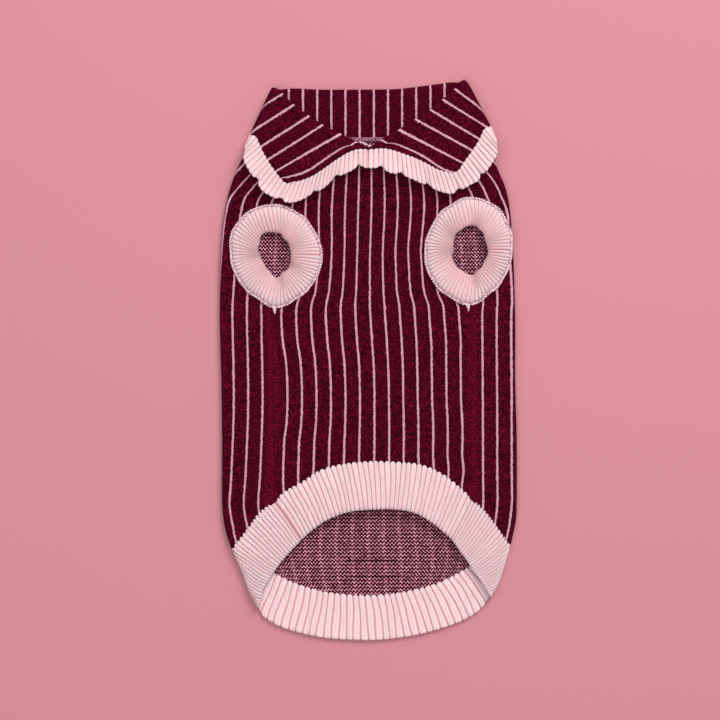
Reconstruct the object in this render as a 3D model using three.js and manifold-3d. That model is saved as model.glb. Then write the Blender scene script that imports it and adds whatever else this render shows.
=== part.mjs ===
// A small dog's knitted sweater, laid flat with its belly side up. Millimetres, +Z up, +Y towards the collar.
// Eight pieces as they are knitted and linked: back, belly, two hem ribs, two leg cuffs, the collar and its trim.
// The garment is a flattened tube. A place on it is a point of the tube's axis line in plan, the turn round
// its side fold (0 on the top layer, PI on the bottom layer), and a height measured out from the middle plane.
import * as THREE from "three";
import Module from "manifold-3d";
import { mergeVertices } from "three/addons/utils/BufferGeometryUtils.js";

const wasm = await Module();
wasm.setup();

const wall = 2; // thickness of the knit
const hollow = 2; // space between the two layers of the flattened tube
const seamGap = 0.3; // between two pieces that are sewn together
const layGap = 0.5; // between the collar and what it lies on
const ribRise = 0.7; // of the knit ribs above their grooves
const inFace = hollow / 2;
const outFace = inFace + wall;
const fallIn = outFace + layGap;
const fallOut = fallIn + wall;
const collarLift = wall + layGap; // the back of the neck lies on the collar's fall

const burgundy = "#5a0a2a";
const palePink = "#f0cdd0";

// The side folds' axis lines, from the neck down to the hem seam: x, y.
const foldLeft = [
  [-69.5, 145.5], [-76.5, 135.5], [-82.5, 124], [-87.5, 111], [-90.5, 98], [-92.5, 82], [-93.5, 62.5],
  [-94, 26.5], [-93, -12.5], [-92.5, -51.5], [-92.5, -90.5], [-91.5, -103.5], [-89.5, -113], [-86.7, -121.3],
];
const foldRight = [
  [73.5, 146], [78, 135.5], [81.5, 124], [87, 111], [89.5, 98], [91, 82], [92, 62.5],
  [93, 26.5], [93, -12.5], [94, -51.5], [94, -90.5], [93.5, -103.5], [91.5, -113], [90.2, -119],
];
// The side seams on the belly side, from the neck down to the hem: x, y.
const seamLeft = [
  [-45, 141.3], [-49.5, 124], [-54, 104.5], [-58, 85], [-61.5, 59], [-62.5, 34.5], [-62, -25.5], [-60.5, -92],
];
const seamRight = [
  [48, 141.4], [53, 124], [57.5, 106], [61.5, 85], [65.5, 59], [67.5, 34.5], [67, -25.5], [67, -90.5],
];
// The line where the hem ribs start, left to right: x, y. The side seams end at rows 3 and 13.
const hemFront = [
  [-86.7, -121.3], [-77.5, -109.5], [-70.5, -100], [-60.5, -92], [-53, -85.5], [-41.5, -79], [-31.5, -72.5],
  [-18.5, -68.5], [0, -66.5], [20.5, -67], [33.5, -68.5], [44, -72.5], [54, -79], [67, -90.5], [76, -99.5],
  [82.5, -108], [90.2, -119],
];
const hemBack = [
  [-86.7, -121.3], [-77, -129.5], [-51, -144.5], [-26, -152], [0, -154], [22, -152], [46.5, -145.5],
  [72, -131.5], [90.2, -119],
];
// The hem's free edge, left to right: x, y. The rib's side seams end at rows 4 and 12.
const freeFront = [
  [-69.3, -162.5], [-67, -151], [-61.5, -138], [-53.5, -127], [-43.5, -116.5], [-34.5, -108.5], [-25, -102.5],
  [-12, -98], [3, -96.5], [17.5, -96.5], [30.5, -99], [41.5, -105.5], [54, -116], [60.5, -125], [67.5, -135],
  [73.5, -145.5], [76.3, -156.5],
];
const freeBack = [
  [-69.3, -162.5], [-63.5, -168], [-55, -173], [-42, -177.6], [-25, -181], [0, -182.2], [20.5, -180.5],
  [40, -176.2], [59.5, -169.3], [70, -163], [76.3, -156.5],
];
const hemSideLeft = [[-86.7, -121.3], [-83.5, -128], [-80.5, -134], [-76.8, -144], [-73.8, -154], [-69.3, -162.5]];
const hemSideRight = [[90.2, -119], [86.7, -130], [83.3, -141], [80, -150], [76.3, -156.5]];
const ribSeamLeft = [[-60.5, -92], [-51.5, -104], [-43.5, -116.5]];
const ribSeamRight = [[67, -90.5], [61, -103], [54, -116]];

// The collar. Each line runs from the centre front outwards to the side fold: x, y.
const rollLeft = [
  [-0.6, 138.7], [-9, 142], [-18.5, 145.5], [-29.5, 151], [-39, 157], [-48.5, 164], [-55, 170.3], [-58, 175.3],
];
const rollRight = [
  [1, 138.7], [10, 143.5], [20, 148], [31, 155], [40.5, 161], [48.5, 167.5], [56, 173.5], [59.5, 178.5],
];
const edgeLeft = [
  [-0.6, 136.2], [-6.5, 136.5], [-13, 135], [-20, 132], [-26, 128.5], [-32, 123.5], [-37, 120], [-43.5, 117.5],
  [-48.5, 116], [-54.5, 115.5], [-61.5, 123.5], [-66.5, 130.5], [-70, 138], [-72.5, 146],
];
const edgeRight = [
  [0.8, 136.2], [9, 137], [15.5, 136], [23, 133.5], [30, 131], [37.5, 127.5], [44, 124], [50, 122],
  [57, 121.5], [63, 129.5], [67.5, 135.5], [72, 143], [74.5, 152.5],
];
const trimLeft = [
  [0, 125], [-6.5, 125], [-14.5, 121.5], [-22, 118], [-29, 112], [-37.5, 107.5], [-46, 103.5], [-54, 103],
  [-61, 106], [-68.5, 110.5], [-74, 118], [-78.5, 127.5], [-77, 136.5],
];
const trimRight = [
  [0, 125], [8, 124.5], [14, 122], [20.5, 120.5], [28, 118], [38, 113.5], [46.5, 110], [53, 108.5],
  [59.5, 109.5], [66, 113], [71.5, 116], [77, 122], [81, 130], [79, 139],
];
// The same lines across the back, left to right: x, y.
const rollBack = [[-58, 175.3], [-31.5, 174.8], [0, 174.8], [20.5, 175.3], [46.5, 178.2], [59.5, 178.5]];
const edgeBack = [[-72.5, 146], [-40, 140], [0, 138], [40, 141], [74.5, 152.5]];
const trimBack = [[-77, 136.5], [-40, 130.5], [0, 128.5], [40, 130.5], [79, 139]];
const collarOut = 0.43; // how far the collar's sides lean, as the y share of their outward direction

// Ribs round the collar's trim, one stretch a row, from the centre front round by the left side.
const frontRibs = 31;
const sideRibs = 4;
const backRibs = 45;
const trimRibs = 2 * (frontRibs + sideRibs) + backRibs;
// Where the trim's scallops meet, in ribs from the centre front.
const notches = [
  1.8, 6.6, 11.7, 18.5, 24.5, 31, 37, 43, 49, 55, 61, 67, 73, 79, 84.5, 91, 96.4, 102.7, 108.4, 112.5,
];
const notchDepth = 2.6;
const notchHalfWidth = 1.5; // in ribs
const waveRise = 1.1; // of the scallops' middles above their notches

// A leg cuff's outline round its centre: radius at every 30 degrees from +X, counter-clockwise.
const cuffs = [
  {
    name: "cuff_left", x: -60, y: 68.5,
    outer: [30.5, 30, 31.5, 33.5, 34, 33, 30, 29.5, 30.5, 34.5, 31.5, 30.5],
    inner: [10, 10.5, 12, 15, 16, 13, 10, 9.5, 11, 14.5, 12, 10.5],
    dents: [115, 190, 330],
  },
  {
    name: "cuff_right", x: 65.8, y: 71.7,
    outer: [28, 30.5, 34, 35, 32, 29.5, 29.5, 31, 33, 36, 31, 28.5],
    inner: [12, 12, 15, 16.5, 14, 11.5, 10.5, 12, 14, 16, 14, 12],
    dents: [80, 150, 215],
  },
];
const cuffRibs = 46;
const cuffRise = 2.8; // of the cuff's dome above the panel round it
const dentDepth = 1.1;
const dentHalfWidth = 16; // degrees

const hemBellyRibs = 40;
const hemSideRibs = 11;
const hemFoldRibs = 2;
const hemBackRibs = 46;

// A table of points as a smooth line. Its stretch between two rows is read from 0 to 1 along its length.
function line(rows, first = 0, last = rows.length - 1) {
  const curve = new THREE.SplineCurve(rows.map(([x, y]) => new THREE.Vector2(x, y)));
  const steps = 400;
  const lengths = curve.getLengths(steps);
  const share = (row) => lengths[Math.round((row / (rows.length - 1)) * steps)] / lengths[steps];
  const from = share(first);
  const span = share(last) - from;
  return (t) => curve.getPointAt(Math.min(1, from + span * t));
}

const mix = (a, b, t) => a.clone().lerp(b, t);
const reversed = (curve) => (t) => curve(1 - t);
const shifted = (curve, dx, dy) => (t) => curve(t).add(new THREE.Vector2(dx, dy));

// The outward direction of a side fold's axis line. The sign is -1 on the left and 1 on the right.
function outward(curve, t, sign) {
  const ahead = curve(Math.min(1, t + 0.02)).sub(curve(Math.max(0, t - 0.02)));
  return new THREE.Vector2(-ahead.y * sign, ahead.x * sign).normalize();
}

// A Coons patch between four lines in plan: u runs across, v runs down from the neck to the hem.
function patch(left, right, upper, lower) {
  return (u, v) => {
    const across = mix(left(v), right(v), u);
    const top = upper(u).sub(mix(left(0), right(0), u));
    const bottom = lower(u).sub(mix(left(1), right(1), u));
    return across.addScaledVector(top, 1 - v).addScaledVector(bottom, v);
  };
}

// The middle plane of the tube, raised where the back lies on the collar's fall.
function middle(y) {
  return outFace + collarLift * THREE.MathUtils.smoothstep(y, 105, 127);
}

// How far the top layer stands above its flat place: a little over the belly, more at the hem's mouth.
function puff(x, y) {
  const { smoothstep } = THREE.MathUtils;
  const belly = 1.3 * Math.max(0, 1 - (x / 88) ** 2) * smoothstep(-y, -100, -40);
  const mouth = 2.2 * Math.max(0, 1 - (x / 62) ** 2) * smoothstep(-y, 60, 105);
  return belly + mouth;
}

const topFace = (x, y) => middle(y) + outFace + puff(x, y);

// A place: its point in plan, the turn round the fold, the fold's outward direction and a height.
function stand(point, turn, out, height) {
  const side = Math.sin(turn) * height;
  const up = Math.cos(turn) * height;
  const rise = turn === 0 ? puff(point.x, point.y) : 0;
  return new THREE.Vector3(point.x + out.x * side, point.y + out.y * side, middle(point.y) + up + rise);
}

const level = new THREE.Vector2(0, 0);

// Triangles of a wall given as columns. A column holds its points on both faces, and says which faces use it,
// so a ribbed face keeps every column and the plain face behind it only those between the ribs.
function wallGeometry(columns, closed) {
  const corners = [];
  const add = (...points) => points.forEach((p) => corners.push(p.x, p.y, p.z));
  const ring = closed ? [...columns, columns[0]] : columns;
  const last = ring[0].a.length - 1;
  const used = (face) => ring.map((c, i) => (c[face] && c.use.includes(face) ? i : -1)).filter((i) => i >= 0);
  const faceA = used("a");
  const faceB = used("b");
  for (let k = 1; k < faceA.length; k++) {
    const [p, q] = [ring[faceA[k - 1]].a, ring[faceA[k]].a];
    for (let r = 0; r < last; r++) {
      add(p[r], q[r], q[r + 1]);
      add(p[r], q[r + 1], p[r + 1]);
    }
  }
  for (let k = 1; k < faceB.length; k++) {
    const [p, q] = [ring[faceB[k - 1]].b, ring[faceB[k]].b];
    for (let r = 0; r < last; r++) {
      add(p[r], q[r + 1], q[r]);
      add(p[r], p[r + 1], q[r + 1]);
    }
  }
  for (const row of [0, last]) {
    const place = row === 0 ? add : (p, q, r) => add(p, r, q);
    let i = 0;
    let j = 0;
    while (i < faceA.length - 1 || j < faceB.length - 1) {
      const nextA = i < faceA.length - 1 ? faceA[i + 1] : Infinity;
      const nextB = j < faceB.length - 1 ? faceB[j + 1] : Infinity;
      const a = ring[faceA[i]].a[row];
      const b = ring[faceB[j]].b[row];
      if (nextA <= nextB) {
        place(ring[nextA].a[row], a, b);
        i++;
      } else {
        place(b, ring[nextB].b[row], a);
        j++;
      }
    }
  }
  if (!closed) {
    for (const [column, turned] of [[ring[0], false], [ring[ring.length - 1], true]]) {
      for (let r = 0; r < last; r++) {
        const [p, q, s, t] = [column.a[r], column.a[r + 1], column.b[r], column.b[r + 1]];
        if (turned) {
          add(p, t, q);
          add(p, s, t);
        } else {
          add(p, q, t);
          add(p, t, s);
        }
      }
    }
  }
  return outwards(corners);
}

// Turns a closed list of triangles so that its faces point out, and merges its corners.
function outwards(corners) {
  let volume = 0;
  const [p, q, r] = [new THREE.Vector3(), new THREE.Vector3(), new THREE.Vector3()];
  for (let i = 0; i < corners.length; i += 9) {
    p.fromArray(corners, i);
    q.fromArray(corners, i + 3);
    r.fromArray(corners, i + 6);
    volume += p.dot(q.cross(r));
  }
  if (volume < 0) {
    for (let i = 0; i < corners.length; i += 9) {
      for (let k = 3; k < 6; k++) {
        [corners[i + k], corners[i + k + 3]] = [corners[i + k + 3], corners[i + k]];
      }
    }
  }
  const geometry = new THREE.BufferGeometry();
  geometry.setAttribute("position", new THREE.Float32BufferAttribute(corners, 3));
  return mergeVertices(geometry, 1e-3);
}

function solid(geometry) {
  const position = geometry.getAttribute("position");
  const mesh = { numProp: 3, vertProperties: position.array, triVerts: new Uint32Array(geometry.index.array) };
  return new wasm.Manifold(new wasm.Mesh(mesh));
}

function geometryOf(manifold) {
  const made = manifold.getMesh();
  const geometry = new THREE.BufferGeometry();
  geometry.setAttribute("position", new THREE.BufferAttribute(made.vertProperties, 3));
  geometry.setIndex(new THREE.BufferAttribute(made.triVerts, 1));
  return geometry;
}

const sweater = new THREE.Group();

function addPiece(name, geometry, colour, roughness) {
  const mesh = new THREE.Mesh(geometry, new THREE.MeshStandardMaterial({ color: colour, roughness, metalness: 0 }));
  mesh.name = name;
  sweater.add(mesh);
}

// Both faces of a body column, for each of its rows.
function bodyColumn(pointAt, turn, outAt, rows) {
  const points = rows.map((v) => [pointAt(v), outAt(v)]);
  return {
    a: points.map(([p, out]) => stand(p, turn, out, outFace)),
    b: points.map(([p, out]) => stand(p, turn, out, inFace)),
    use: "ab",
  };
}

// A leg cuff's radius at an angle in degrees, between the table's values.
function cuffRadius(values, degrees) {
  const at = (((degrees % 360) + 360) % 360) / 30;
  const first = Math.floor(at);
  const t = (1 - Math.cos((at - first) * Math.PI)) / 2;
  return THREE.MathUtils.lerp(values[first % 12], values[(first + 1) % 12], t);
}

// The upright solid that cuts a cuff's armhole through the top layer.
function armhole(cuff) {
  const shape = new THREE.Shape();
  const steps = 2 * cuffRibs;
  for (let i = 0; i < steps; i++) {
    const degrees = (i / steps) * 360;
    const radius = cuffRadius(cuff.outer, degrees) + seamGap / 2;
    const angle = THREE.MathUtils.degToRad(degrees);
    const x = cuff.x + radius * Math.cos(angle);
    const y = cuff.y + radius * Math.sin(angle);
    if (i === 0) shape.moveTo(x, y);
    else shape.lineTo(x, y);
  }
  shape.closePath();
  const prism = new THREE.ExtrudeGeometry(shape, { depth: 2 * fallOut, bevelEnabled: false });
  prism.translate(0, 0, outFace);
  prism.deleteAttribute("normal");
  prism.deleteAttribute("uv");
  return solid(mergeVertices(prism, 1e-3));
}

// The neck line, from the left fold's axis to the right one's, dipping in the middle.
function neckLine(dip, side) {
  const [left, right] = [foldLeft[0], foldRight[0]];
  return (s) => new THREE.Vector2(
    THREE.MathUtils.lerp(left[0], right[0], s),
    THREE.MathUtils.lerp(left[1], right[1], s) - dip * (1 - Math.abs(2 * s - 1) ** 1.6) + (side * seamGap) / 2,
  );
}
const frontDip = 8.6;
const backDip = 1.2;
const seamShareLeft = (seamLeft[0][0] - foldLeft[0][0]) / (foldRight[0][0] - foldLeft[0][0]);
const seamShareRight = (seamRight[0][0] - foldLeft[0][0]) / (foldRight[0][0] - foldLeft[0][0]);
const part = (curve, from, to) => (t) => curve(from + (to - from) * t);

// The back and the belly. Their rows are close together where the neck rises onto the collar.
const hemShare = 0.999;
const bodyRows = [0, 0.03, 0.06, 0.09, 0.12, 0.15, 0.19, 0.25, 0.32, 0.4, 0.48, 0.56, 0.64, 0.72, 0.8, 0.88, 0.95, 1];
const rows = bodyRows.map((v) => v * hemShare);
const frontNeck = neckLine(frontDip, -1);
const axisLeft = line(foldLeft);
const axisRight = line(foldRight);
const fullSeamLeft = line(seamLeft);
const fullSeamRight = line(seamRight);

const topLeft = patch(
  shifted(fullSeamLeft, -seamGap / 2, 0), axisLeft,
  reversed(part(frontNeck, 0, seamShareLeft)), reversed(line(hemFront, 0, 3)),
);
const topRight = patch(
  axisRight, shifted(fullSeamRight, seamGap / 2, 0),
  reversed(part(frontNeck, seamShareRight, 1)), reversed(line(hemFront, 13, 16)),
);
const bottom = patch(axisLeft, axisRight, neckLine(backDip, -1), line(hemBack));

function backColumns() {
  const columns = [];
  const [panel, fold, across] = [5, 6, 16];
  for (let i = 0; i < panel; i++) {
    columns.push(bodyColumn((v) => topLeft(i / panel, v), 0, () => level, rows));
  }
  for (let i = 0; i < fold; i++) {
    columns.push(bodyColumn(axisLeft, (i / fold) * Math.PI, (v) => outward(axisLeft, v, -1), rows));
  }
  for (let i = 0; i < across; i++) {
    columns.push(bodyColumn((v) => bottom(i / across, v), Math.PI, () => level, rows));
  }
  for (let i = 0; i < fold; i++) {
    columns.push(bodyColumn(axisRight, (1 - i / fold) * Math.PI, (v) => outward(axisRight, v, 1), rows));
  }
  for (let i = 0; i <= panel; i++) {
    columns.push(bodyColumn((v) => topRight(i / panel, v), 0, () => level, rows));
  }
  return columns;
}

const armholes = cuffs.map(armhole);
let back = solid(wallGeometry(backColumns(), false));
armholes.forEach((hole) => (back = back.subtract(hole)));
addPiece("back_panel", geometryOf(back), burgundy, 0.9);

const belly = patch(
  shifted(fullSeamLeft, seamGap / 2, 0), shifted(fullSeamRight, -seamGap / 2, 0),
  part(frontNeck, seamShareLeft, seamShareRight), line(hemFront, 3, 13),
);
const bellyAcross = 20;
const bellyColumns = [];
for (let i = 0; i <= bellyAcross; i++) {
  bellyColumns.push(bodyColumn((v) => belly(i / bellyAcross, v), 0, () => level, rows));
}
let front = solid(wallGeometry(bellyColumns, false));
armholes.forEach((hole) => (front = front.subtract(hole)));
addPiece("belly_panel", geometryOf(front), burgundy, 0.9);

// A rib is two raised wales and a narrow groove: its groove stands at its start, its flat top between these shares.
const ribShape = [[0, 0], [0.3, 1], [0.7, 1]];
const hemRows = [0, 0.33, 0.67, 1];
const hemStart = 0.005;

// The columns of a stretch of ribs. The ribs rise on the outer face, or on the inner one where the outer rests.
function ribStretch(count, pointAt, turnAt, outAt, ribsInside, fineBoth) {
  const columns = [];
  for (let rib = 0; rib < count; rib++) {
    for (const [share, height] of ribShape) {
      const u = (rib + share) / count;
      const turn = turnAt(u);
      const rise = ribRise * height;
      const resting = turn > 0.7 * Math.PI;
      const points = hemRows.map((v) => [pointAt(u, v * (1 - hemStart) + hemStart), outAt(v)]);
      columns.push({
        a: points.map(([p, out]) => stand(p, turn, out, outFace + (ribsInside || resting ? 0 : rise))),
        b: points.map(([p, out]) => stand(p, turn, out, inFace - (ribsInside ? rise : 0))),
        use: share === 0 || fineBoth ? "ab" : ribsInside ? "b" : "a",
      });
    }
  }
  return columns;
}

// The last column of a stretch, which closes a strip that doesn't run all round.
function endColumn(pointAt, turn, out) {
  const points = hemRows.map((v) => pointAt(1, v * (1 - hemStart) + hemStart));
  return {
    a: points.map((p) => stand(p, turn, out, outFace)),
    b: points.map((p) => stand(p, turn, out, inFace)),
    use: "ab",
  };
}

const hemBelly = patch(
  shifted(line(ribSeamLeft), seamGap / 2, 0), shifted(line(ribSeamRight), -seamGap / 2, 0),
  line(hemFront, 3, 13), line(freeFront, 4, 12),
);
const flat = () => 0;
const none = () => level;
addPiece(
  "hem_belly",
  wallGeometry([...ribStretch(hemBellyRibs, hemBelly, flat, none, false, false), endColumn(hemBelly, 0, level)], false),
  palePink, 0.85,
);

const sideLeft = line(hemSideLeft);
const sideRight = line(hemSideRight);
const hemTopLeft = patch(
  shifted(line(ribSeamLeft), -seamGap / 2, 0), sideLeft,
  reversed(line(hemFront, 0, 3)), reversed(line(freeFront, 0, 4)),
);
const hemTopRight = patch(
  sideRight, shifted(line(ribSeamRight), seamGap / 2, 0),
  reversed(line(hemFront, 13, 16)), reversed(line(freeFront, 12, 16)),
);
const hemUnder = patch(sideLeft, sideRight, line(hemBack), line(freeBack));
const hemBackColumns = [
  ...ribStretch(hemSideRibs, hemTopLeft, flat, none, false, false),
  ...ribStretch(hemFoldRibs, (u, v) => sideLeft(v), (u) => u * Math.PI, (v) => outward(sideLeft, v, -1), false, true),
  ...ribStretch(hemBackRibs, hemUnder, () => Math.PI, none, true, false),
  ...ribStretch(hemFoldRibs, (u, v) => sideRight(v), (u) => (1 - u) * Math.PI, (v) => outward(sideRight, v, 1), false, true),
  ...ribStretch(hemSideRibs, hemTopRight, flat, none, false, false),
  endColumn(hemTopRight, 0, level),
];
addPiece("hem_back", wallGeometry(hemBackColumns, false), palePink, 0.85);

// A leg cuff: a short ribbed tube that lies as a low dome round its hole, linked to the armhole's edge.
// Each row is a share of the way from the outer edge to the hole, and of the dome's rise.
const cuffRows = [[0, 0], [0.12, 0.62], [0.4, 1], [0.75, 0.85], [1, 0.5]];
function cuffColumn(cuff, turns, height) {
  const degrees = 360 * turns;
  const angle = THREE.MathUtils.degToRad(degrees);
  const outer = cuffRadius(cuff.outer, degrees) - seamGap / 2;
  const inner = cuffRadius(cuff.inner, degrees);
  const near = (dent) => Math.abs(((degrees - dent + 540) % 360) - 180) / dentHalfWidth;
  const dent = cuff.dents.reduce((sum, at) => sum + dentDepth * Math.exp(-(near(at) ** 2)), 0);
  const faces = cuffRows.map(([share, rise], row) => {
    const radius = THREE.MathUtils.lerp(outer, inner, share);
    const x = cuff.x + radius * Math.cos(angle);
    const y = cuff.y + radius * Math.sin(angle);
    const z = topFace(x, y) + cuffRise * rise - dent * share;
    const ribs = row === 0 ? 0 : ribRise * height;
    return [new THREE.Vector3(x, y, z + ribs), new THREE.Vector3(x, y, z - wall)];
  });
  return { a: faces.map((f) => f[0]), b: faces.map((f) => f[1]), use: height === 0 ? "ab" : "a" };
}
for (const cuff of cuffs) {
  const columns = [];
  for (let rib = 0; rib < cuffRibs; rib++) {
    ribShape.forEach(([share, height]) => columns.push(cuffColumn(cuff, (rib + share) / cuffRibs, height)));
  }
  addPiece(cuff.name, wallGeometry(columns, true), palePink, 0.85);
}

// The collar's lines at a place round the neck, counted in the trim's ribs from the centre front.
const frontNeckUp = neckLine(frontDip, 1);
const backNeckUp = neckLine(backDip, 1);
const lines = {
  left: { roll: line(rollLeft), edge: line(edgeLeft), trim: line(trimLeft), neck: part(frontNeckUp, 0.4985, 0) },
  right: { roll: line(rollRight), edge: line(edgeRight), trim: line(trimRight), neck: part(frontNeckUp, 0.5015, 1) },
  back: { roll: line(rollBack), edge: line(edgeBack), trim: line(trimBack), neck: backNeckUp },
};
function collarPlace(ribs) {
  const half = trimRibs / 2;
  const name = ribs < half ? "left" : "right";
  const along = ribs < half ? ribs : trimRibs - ribs;
  const sign = ribs < half ? -1 : 1;
  const out = new THREE.Vector2(sign * Math.sqrt(1 - collarOut ** 2), collarOut);
  const neckOut = outward(name === "left" ? axisLeft : axisRight, 0, sign);
  const at = (from, t) => ({
    neck: from.neck(t), roll: from.roll(t), edge: from.edge(t), trim: from.trim(t),
  });
  if (along < frontRibs) {
    return { ...at(lines[name], along / frontRibs), turn: 0, out: level, neckOut: level };
  }
  if (along < frontRibs + sideRibs) {
    return { ...at(lines[name], 1), turn: ((along - frontRibs) / sideRibs) * Math.PI, out, neckOut };
  }
  const across = (along - frontRibs - sideRibs) / backRibs;
  return { ...at(lines.back, sign < 0 ? across : 1 - across), turn: Math.PI, out: level, neckOut: level };
}

const collarPoint = (point, place, height, out = place.out) => stand(point, place.turn, out, height);

// The direction in which the collar's roll bulges, square to the roll line.
function rollDirection(ribs) {
  const before = collarPlace(Math.max(0, ribs - 0.4));
  const after = collarPlace(Math.min(trimRibs, ribs + 0.4));
  const here = collarPlace(ribs);
  const along = collarPoint(after.roll, after, fallIn).sub(collarPoint(before.roll, before, fallIn));
  const up = new THREE.Vector3(
    here.out.x * Math.sin(here.turn), here.out.y * Math.sin(here.turn), Math.cos(here.turn),
  );
  const direction = along.cross(up).normalize();
  return direction.y < 0 ? direction.negate() : direction;
}

// The collar: the stand goes up from the neck seam, rolls over and falls back outside.
const standShares = [0, 0.5, 1];
const rollTurns = [45, 90, 135];
const fallShares = [0, 0.33, 0.67, 1];
const rollHeight = (inFace + fallOut) / 2;
function collarColumn(ribs) {
  const place = collarPlace(ribs);
  const direction = rollDirection(ribs);
  const a = [];
  const b = [];
  for (const share of standShares) {
    const point = mix(place.neck, place.roll, share);
    const out = mix(place.neckOut, place.out, share);
    a.push(collarPoint(point, place, inFace, out));
    b.push(collarPoint(point, place, outFace, out));
  }
  for (const degrees of rollTurns) {
    const angle = THREE.MathUtils.degToRad(degrees);
    for (const [face, radius] of [[a, rollHeight - inFace], [b, rollHeight - outFace]]) {
      const point = collarPoint(place.roll, place, rollHeight - radius * Math.cos(angle));
      face.push(point.addScaledVector(direction, radius * Math.sin(angle)));
    }
  }
  for (const share of fallShares) {
    const point = mix(place.roll, place.edge, share * 0.996);
    a.push(collarPoint(point, place, fallOut));
    b.push(collarPoint(point, place, fallIn));
  }
  return { a, b, use: "ab" };
}
const collarSteps = [];
for (let i = 0; i < 18; i++) collarSteps.push((i / 18) * frontRibs);
for (let i = 0; i < 6; i++) collarSteps.push(frontRibs + (i / 6) * sideRibs);
for (let i = 0; i < 12; i++) collarSteps.push(frontRibs + sideRibs + (i / 12) * backRibs);
for (let i = 0; i < 6; i++) collarSteps.push(frontRibs + sideRibs + backRibs + (i / 6) * sideRibs);
for (let i = 0; i <= 18; i++) collarSteps.push(trimRibs - frontRibs + (i / 18) * frontRibs);
addPiece("collar", wallGeometry(collarSteps.map(collarColumn), false), burgundy, 0.9);

// The trim: a ribbed band round the whole collar edge, scalloped and a little wavy.
const trimShares = [0, 0.5, 1];
function trimColumn(ribs, height) {
  const place = collarPlace(ribs);
  const near = Math.min(...notches.map((at) => Math.abs(ribs - at)));
  const notch = Math.max(0, 1 - near / notchHalfWidth) ** 2;
  const long = place.edge.distanceTo(place.trim);
  const start = (0.8 * seamGap) / long;
  const end = 1 - (notch * notchDepth) / long;
  const resting = place.turn > 0.7 * Math.PI;
  const wave = place.turn === 0 ? waveRise * (1 - notch) : 0;
  const a = [];
  const b = [];
  trimShares.forEach((share, row) => {
    const point = mix(place.edge, place.trim, THREE.MathUtils.lerp(start, end, share));
    const rib = resting || row === 0 ? 0 : ribRise * height;
    const lifted = wave * share * share;
    a.push(collarPoint(point, place, fallOut + rib + lifted));
    b.push(collarPoint(point, place, fallIn + lifted));
  });
  return { a, b, use: height === 0 ? "ab" : resting ? "" : "a" };
}
const trimColumns = [];
for (let rib = 0; rib < trimRibs; rib++) {
  ribShape.forEach(([share, height]) => trimColumns.push(trimColumn(rib + share, height)));
}
addPiece("collar_trim", wallGeometry(trimColumns, true), palePink, 0.85);

export default sweater;
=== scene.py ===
# A small dog's jacquard sweater, laid flat with its belly side up. +Y is towards the collar, +Z up. Metres.
import math
import bmesh
import bpy
import numpy as np
from mathutils import Matrix, Vector


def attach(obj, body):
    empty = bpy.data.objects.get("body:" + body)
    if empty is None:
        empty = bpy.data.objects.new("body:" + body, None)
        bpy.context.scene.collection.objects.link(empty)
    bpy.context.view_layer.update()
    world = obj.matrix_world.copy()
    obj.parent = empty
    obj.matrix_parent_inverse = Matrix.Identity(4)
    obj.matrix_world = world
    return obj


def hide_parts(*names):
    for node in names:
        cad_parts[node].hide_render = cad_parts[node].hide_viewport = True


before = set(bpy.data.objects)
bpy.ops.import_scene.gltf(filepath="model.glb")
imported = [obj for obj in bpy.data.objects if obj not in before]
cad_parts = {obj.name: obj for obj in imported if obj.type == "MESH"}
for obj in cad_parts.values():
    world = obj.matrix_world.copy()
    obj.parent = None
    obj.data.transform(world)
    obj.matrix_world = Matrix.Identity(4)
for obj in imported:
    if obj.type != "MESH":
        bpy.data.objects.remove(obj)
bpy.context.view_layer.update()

# The back panel.
# One width of brushed wool jacquard: it covers the back, wraps round both side folds and is linked to the
# belly along two side seams. Burgundy outside with a pale pinstripe every seventh wale, birdseye inside.
MM = 0.001
WALL = 2.0
HOLLOW = 2.0
LAY_GAP = 0.5
MID_FACE = (HOLLOW + WALL) / 2
OUT_FACE = HOLLOW / 2 + WALL
COLLAR_LIFT = WALL + LAY_GAP
CLOTH = 1.5  # what the cloth measures when pressed, of the wall that it fills
STRIPE_PITCH = 9.35
COURSE = 1.15
WALES_PER_STRIPE = 7
BACK_WALES_PER_STRIPE = 8.4  # the inside's loops are narrower, two to each repeat of the birdseye
BACK_COURSE = 1.25
BELLY_NUMBER = 100  # added to the belly's stripe numbers, so that the fabric can tell where its seams lie
# Stripe numbers at the side seams, on the back and on the belly, and how far the opened knit fades from them.
BACK_SEAMS = (-2.5, 24.5)
BELLY_SEAMS = (BELLY_NUMBER + 0.4, BELLY_NUMBER + 13.6)
BACK_SEAM_FADE = 0.25
BELLY_SEAM_FADE = 0.2
STRIPE_EDGE = (0.08, 0.058)  # a stripe's edge, from its outside in, as shares of the pitch
# Tufts and clumps of hair to a metre of cloth, and the height of the knit in the pictures of it, in metres.
JACQUARD_TUFTS = 950
JACQUARD_CLUMPS = 300
JACQUARD_RELIEF = 0.00045
BIRDSEYE_TUFTS = 1000
BIRDSEYE_RELIEF = 0.0007
BURGUNDY = "#400013"
BURGUNDY_DEEP = "#140002"
BURGUNDY_HAIR = "#740a2e"
STRIPE_PINK = "#dcb0be"
STRIPE_SHADE = "#a8718a"
BIRDSEYE_DARK = ("#0a0002", "#520320")
BIRDSEYE_LIGHT = ("#b66482", "#f2afc4")
WOOL_SHEEN = "#ff4a86"
BIRDSEYE_SHEEN = "#ffb0c0"

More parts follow.
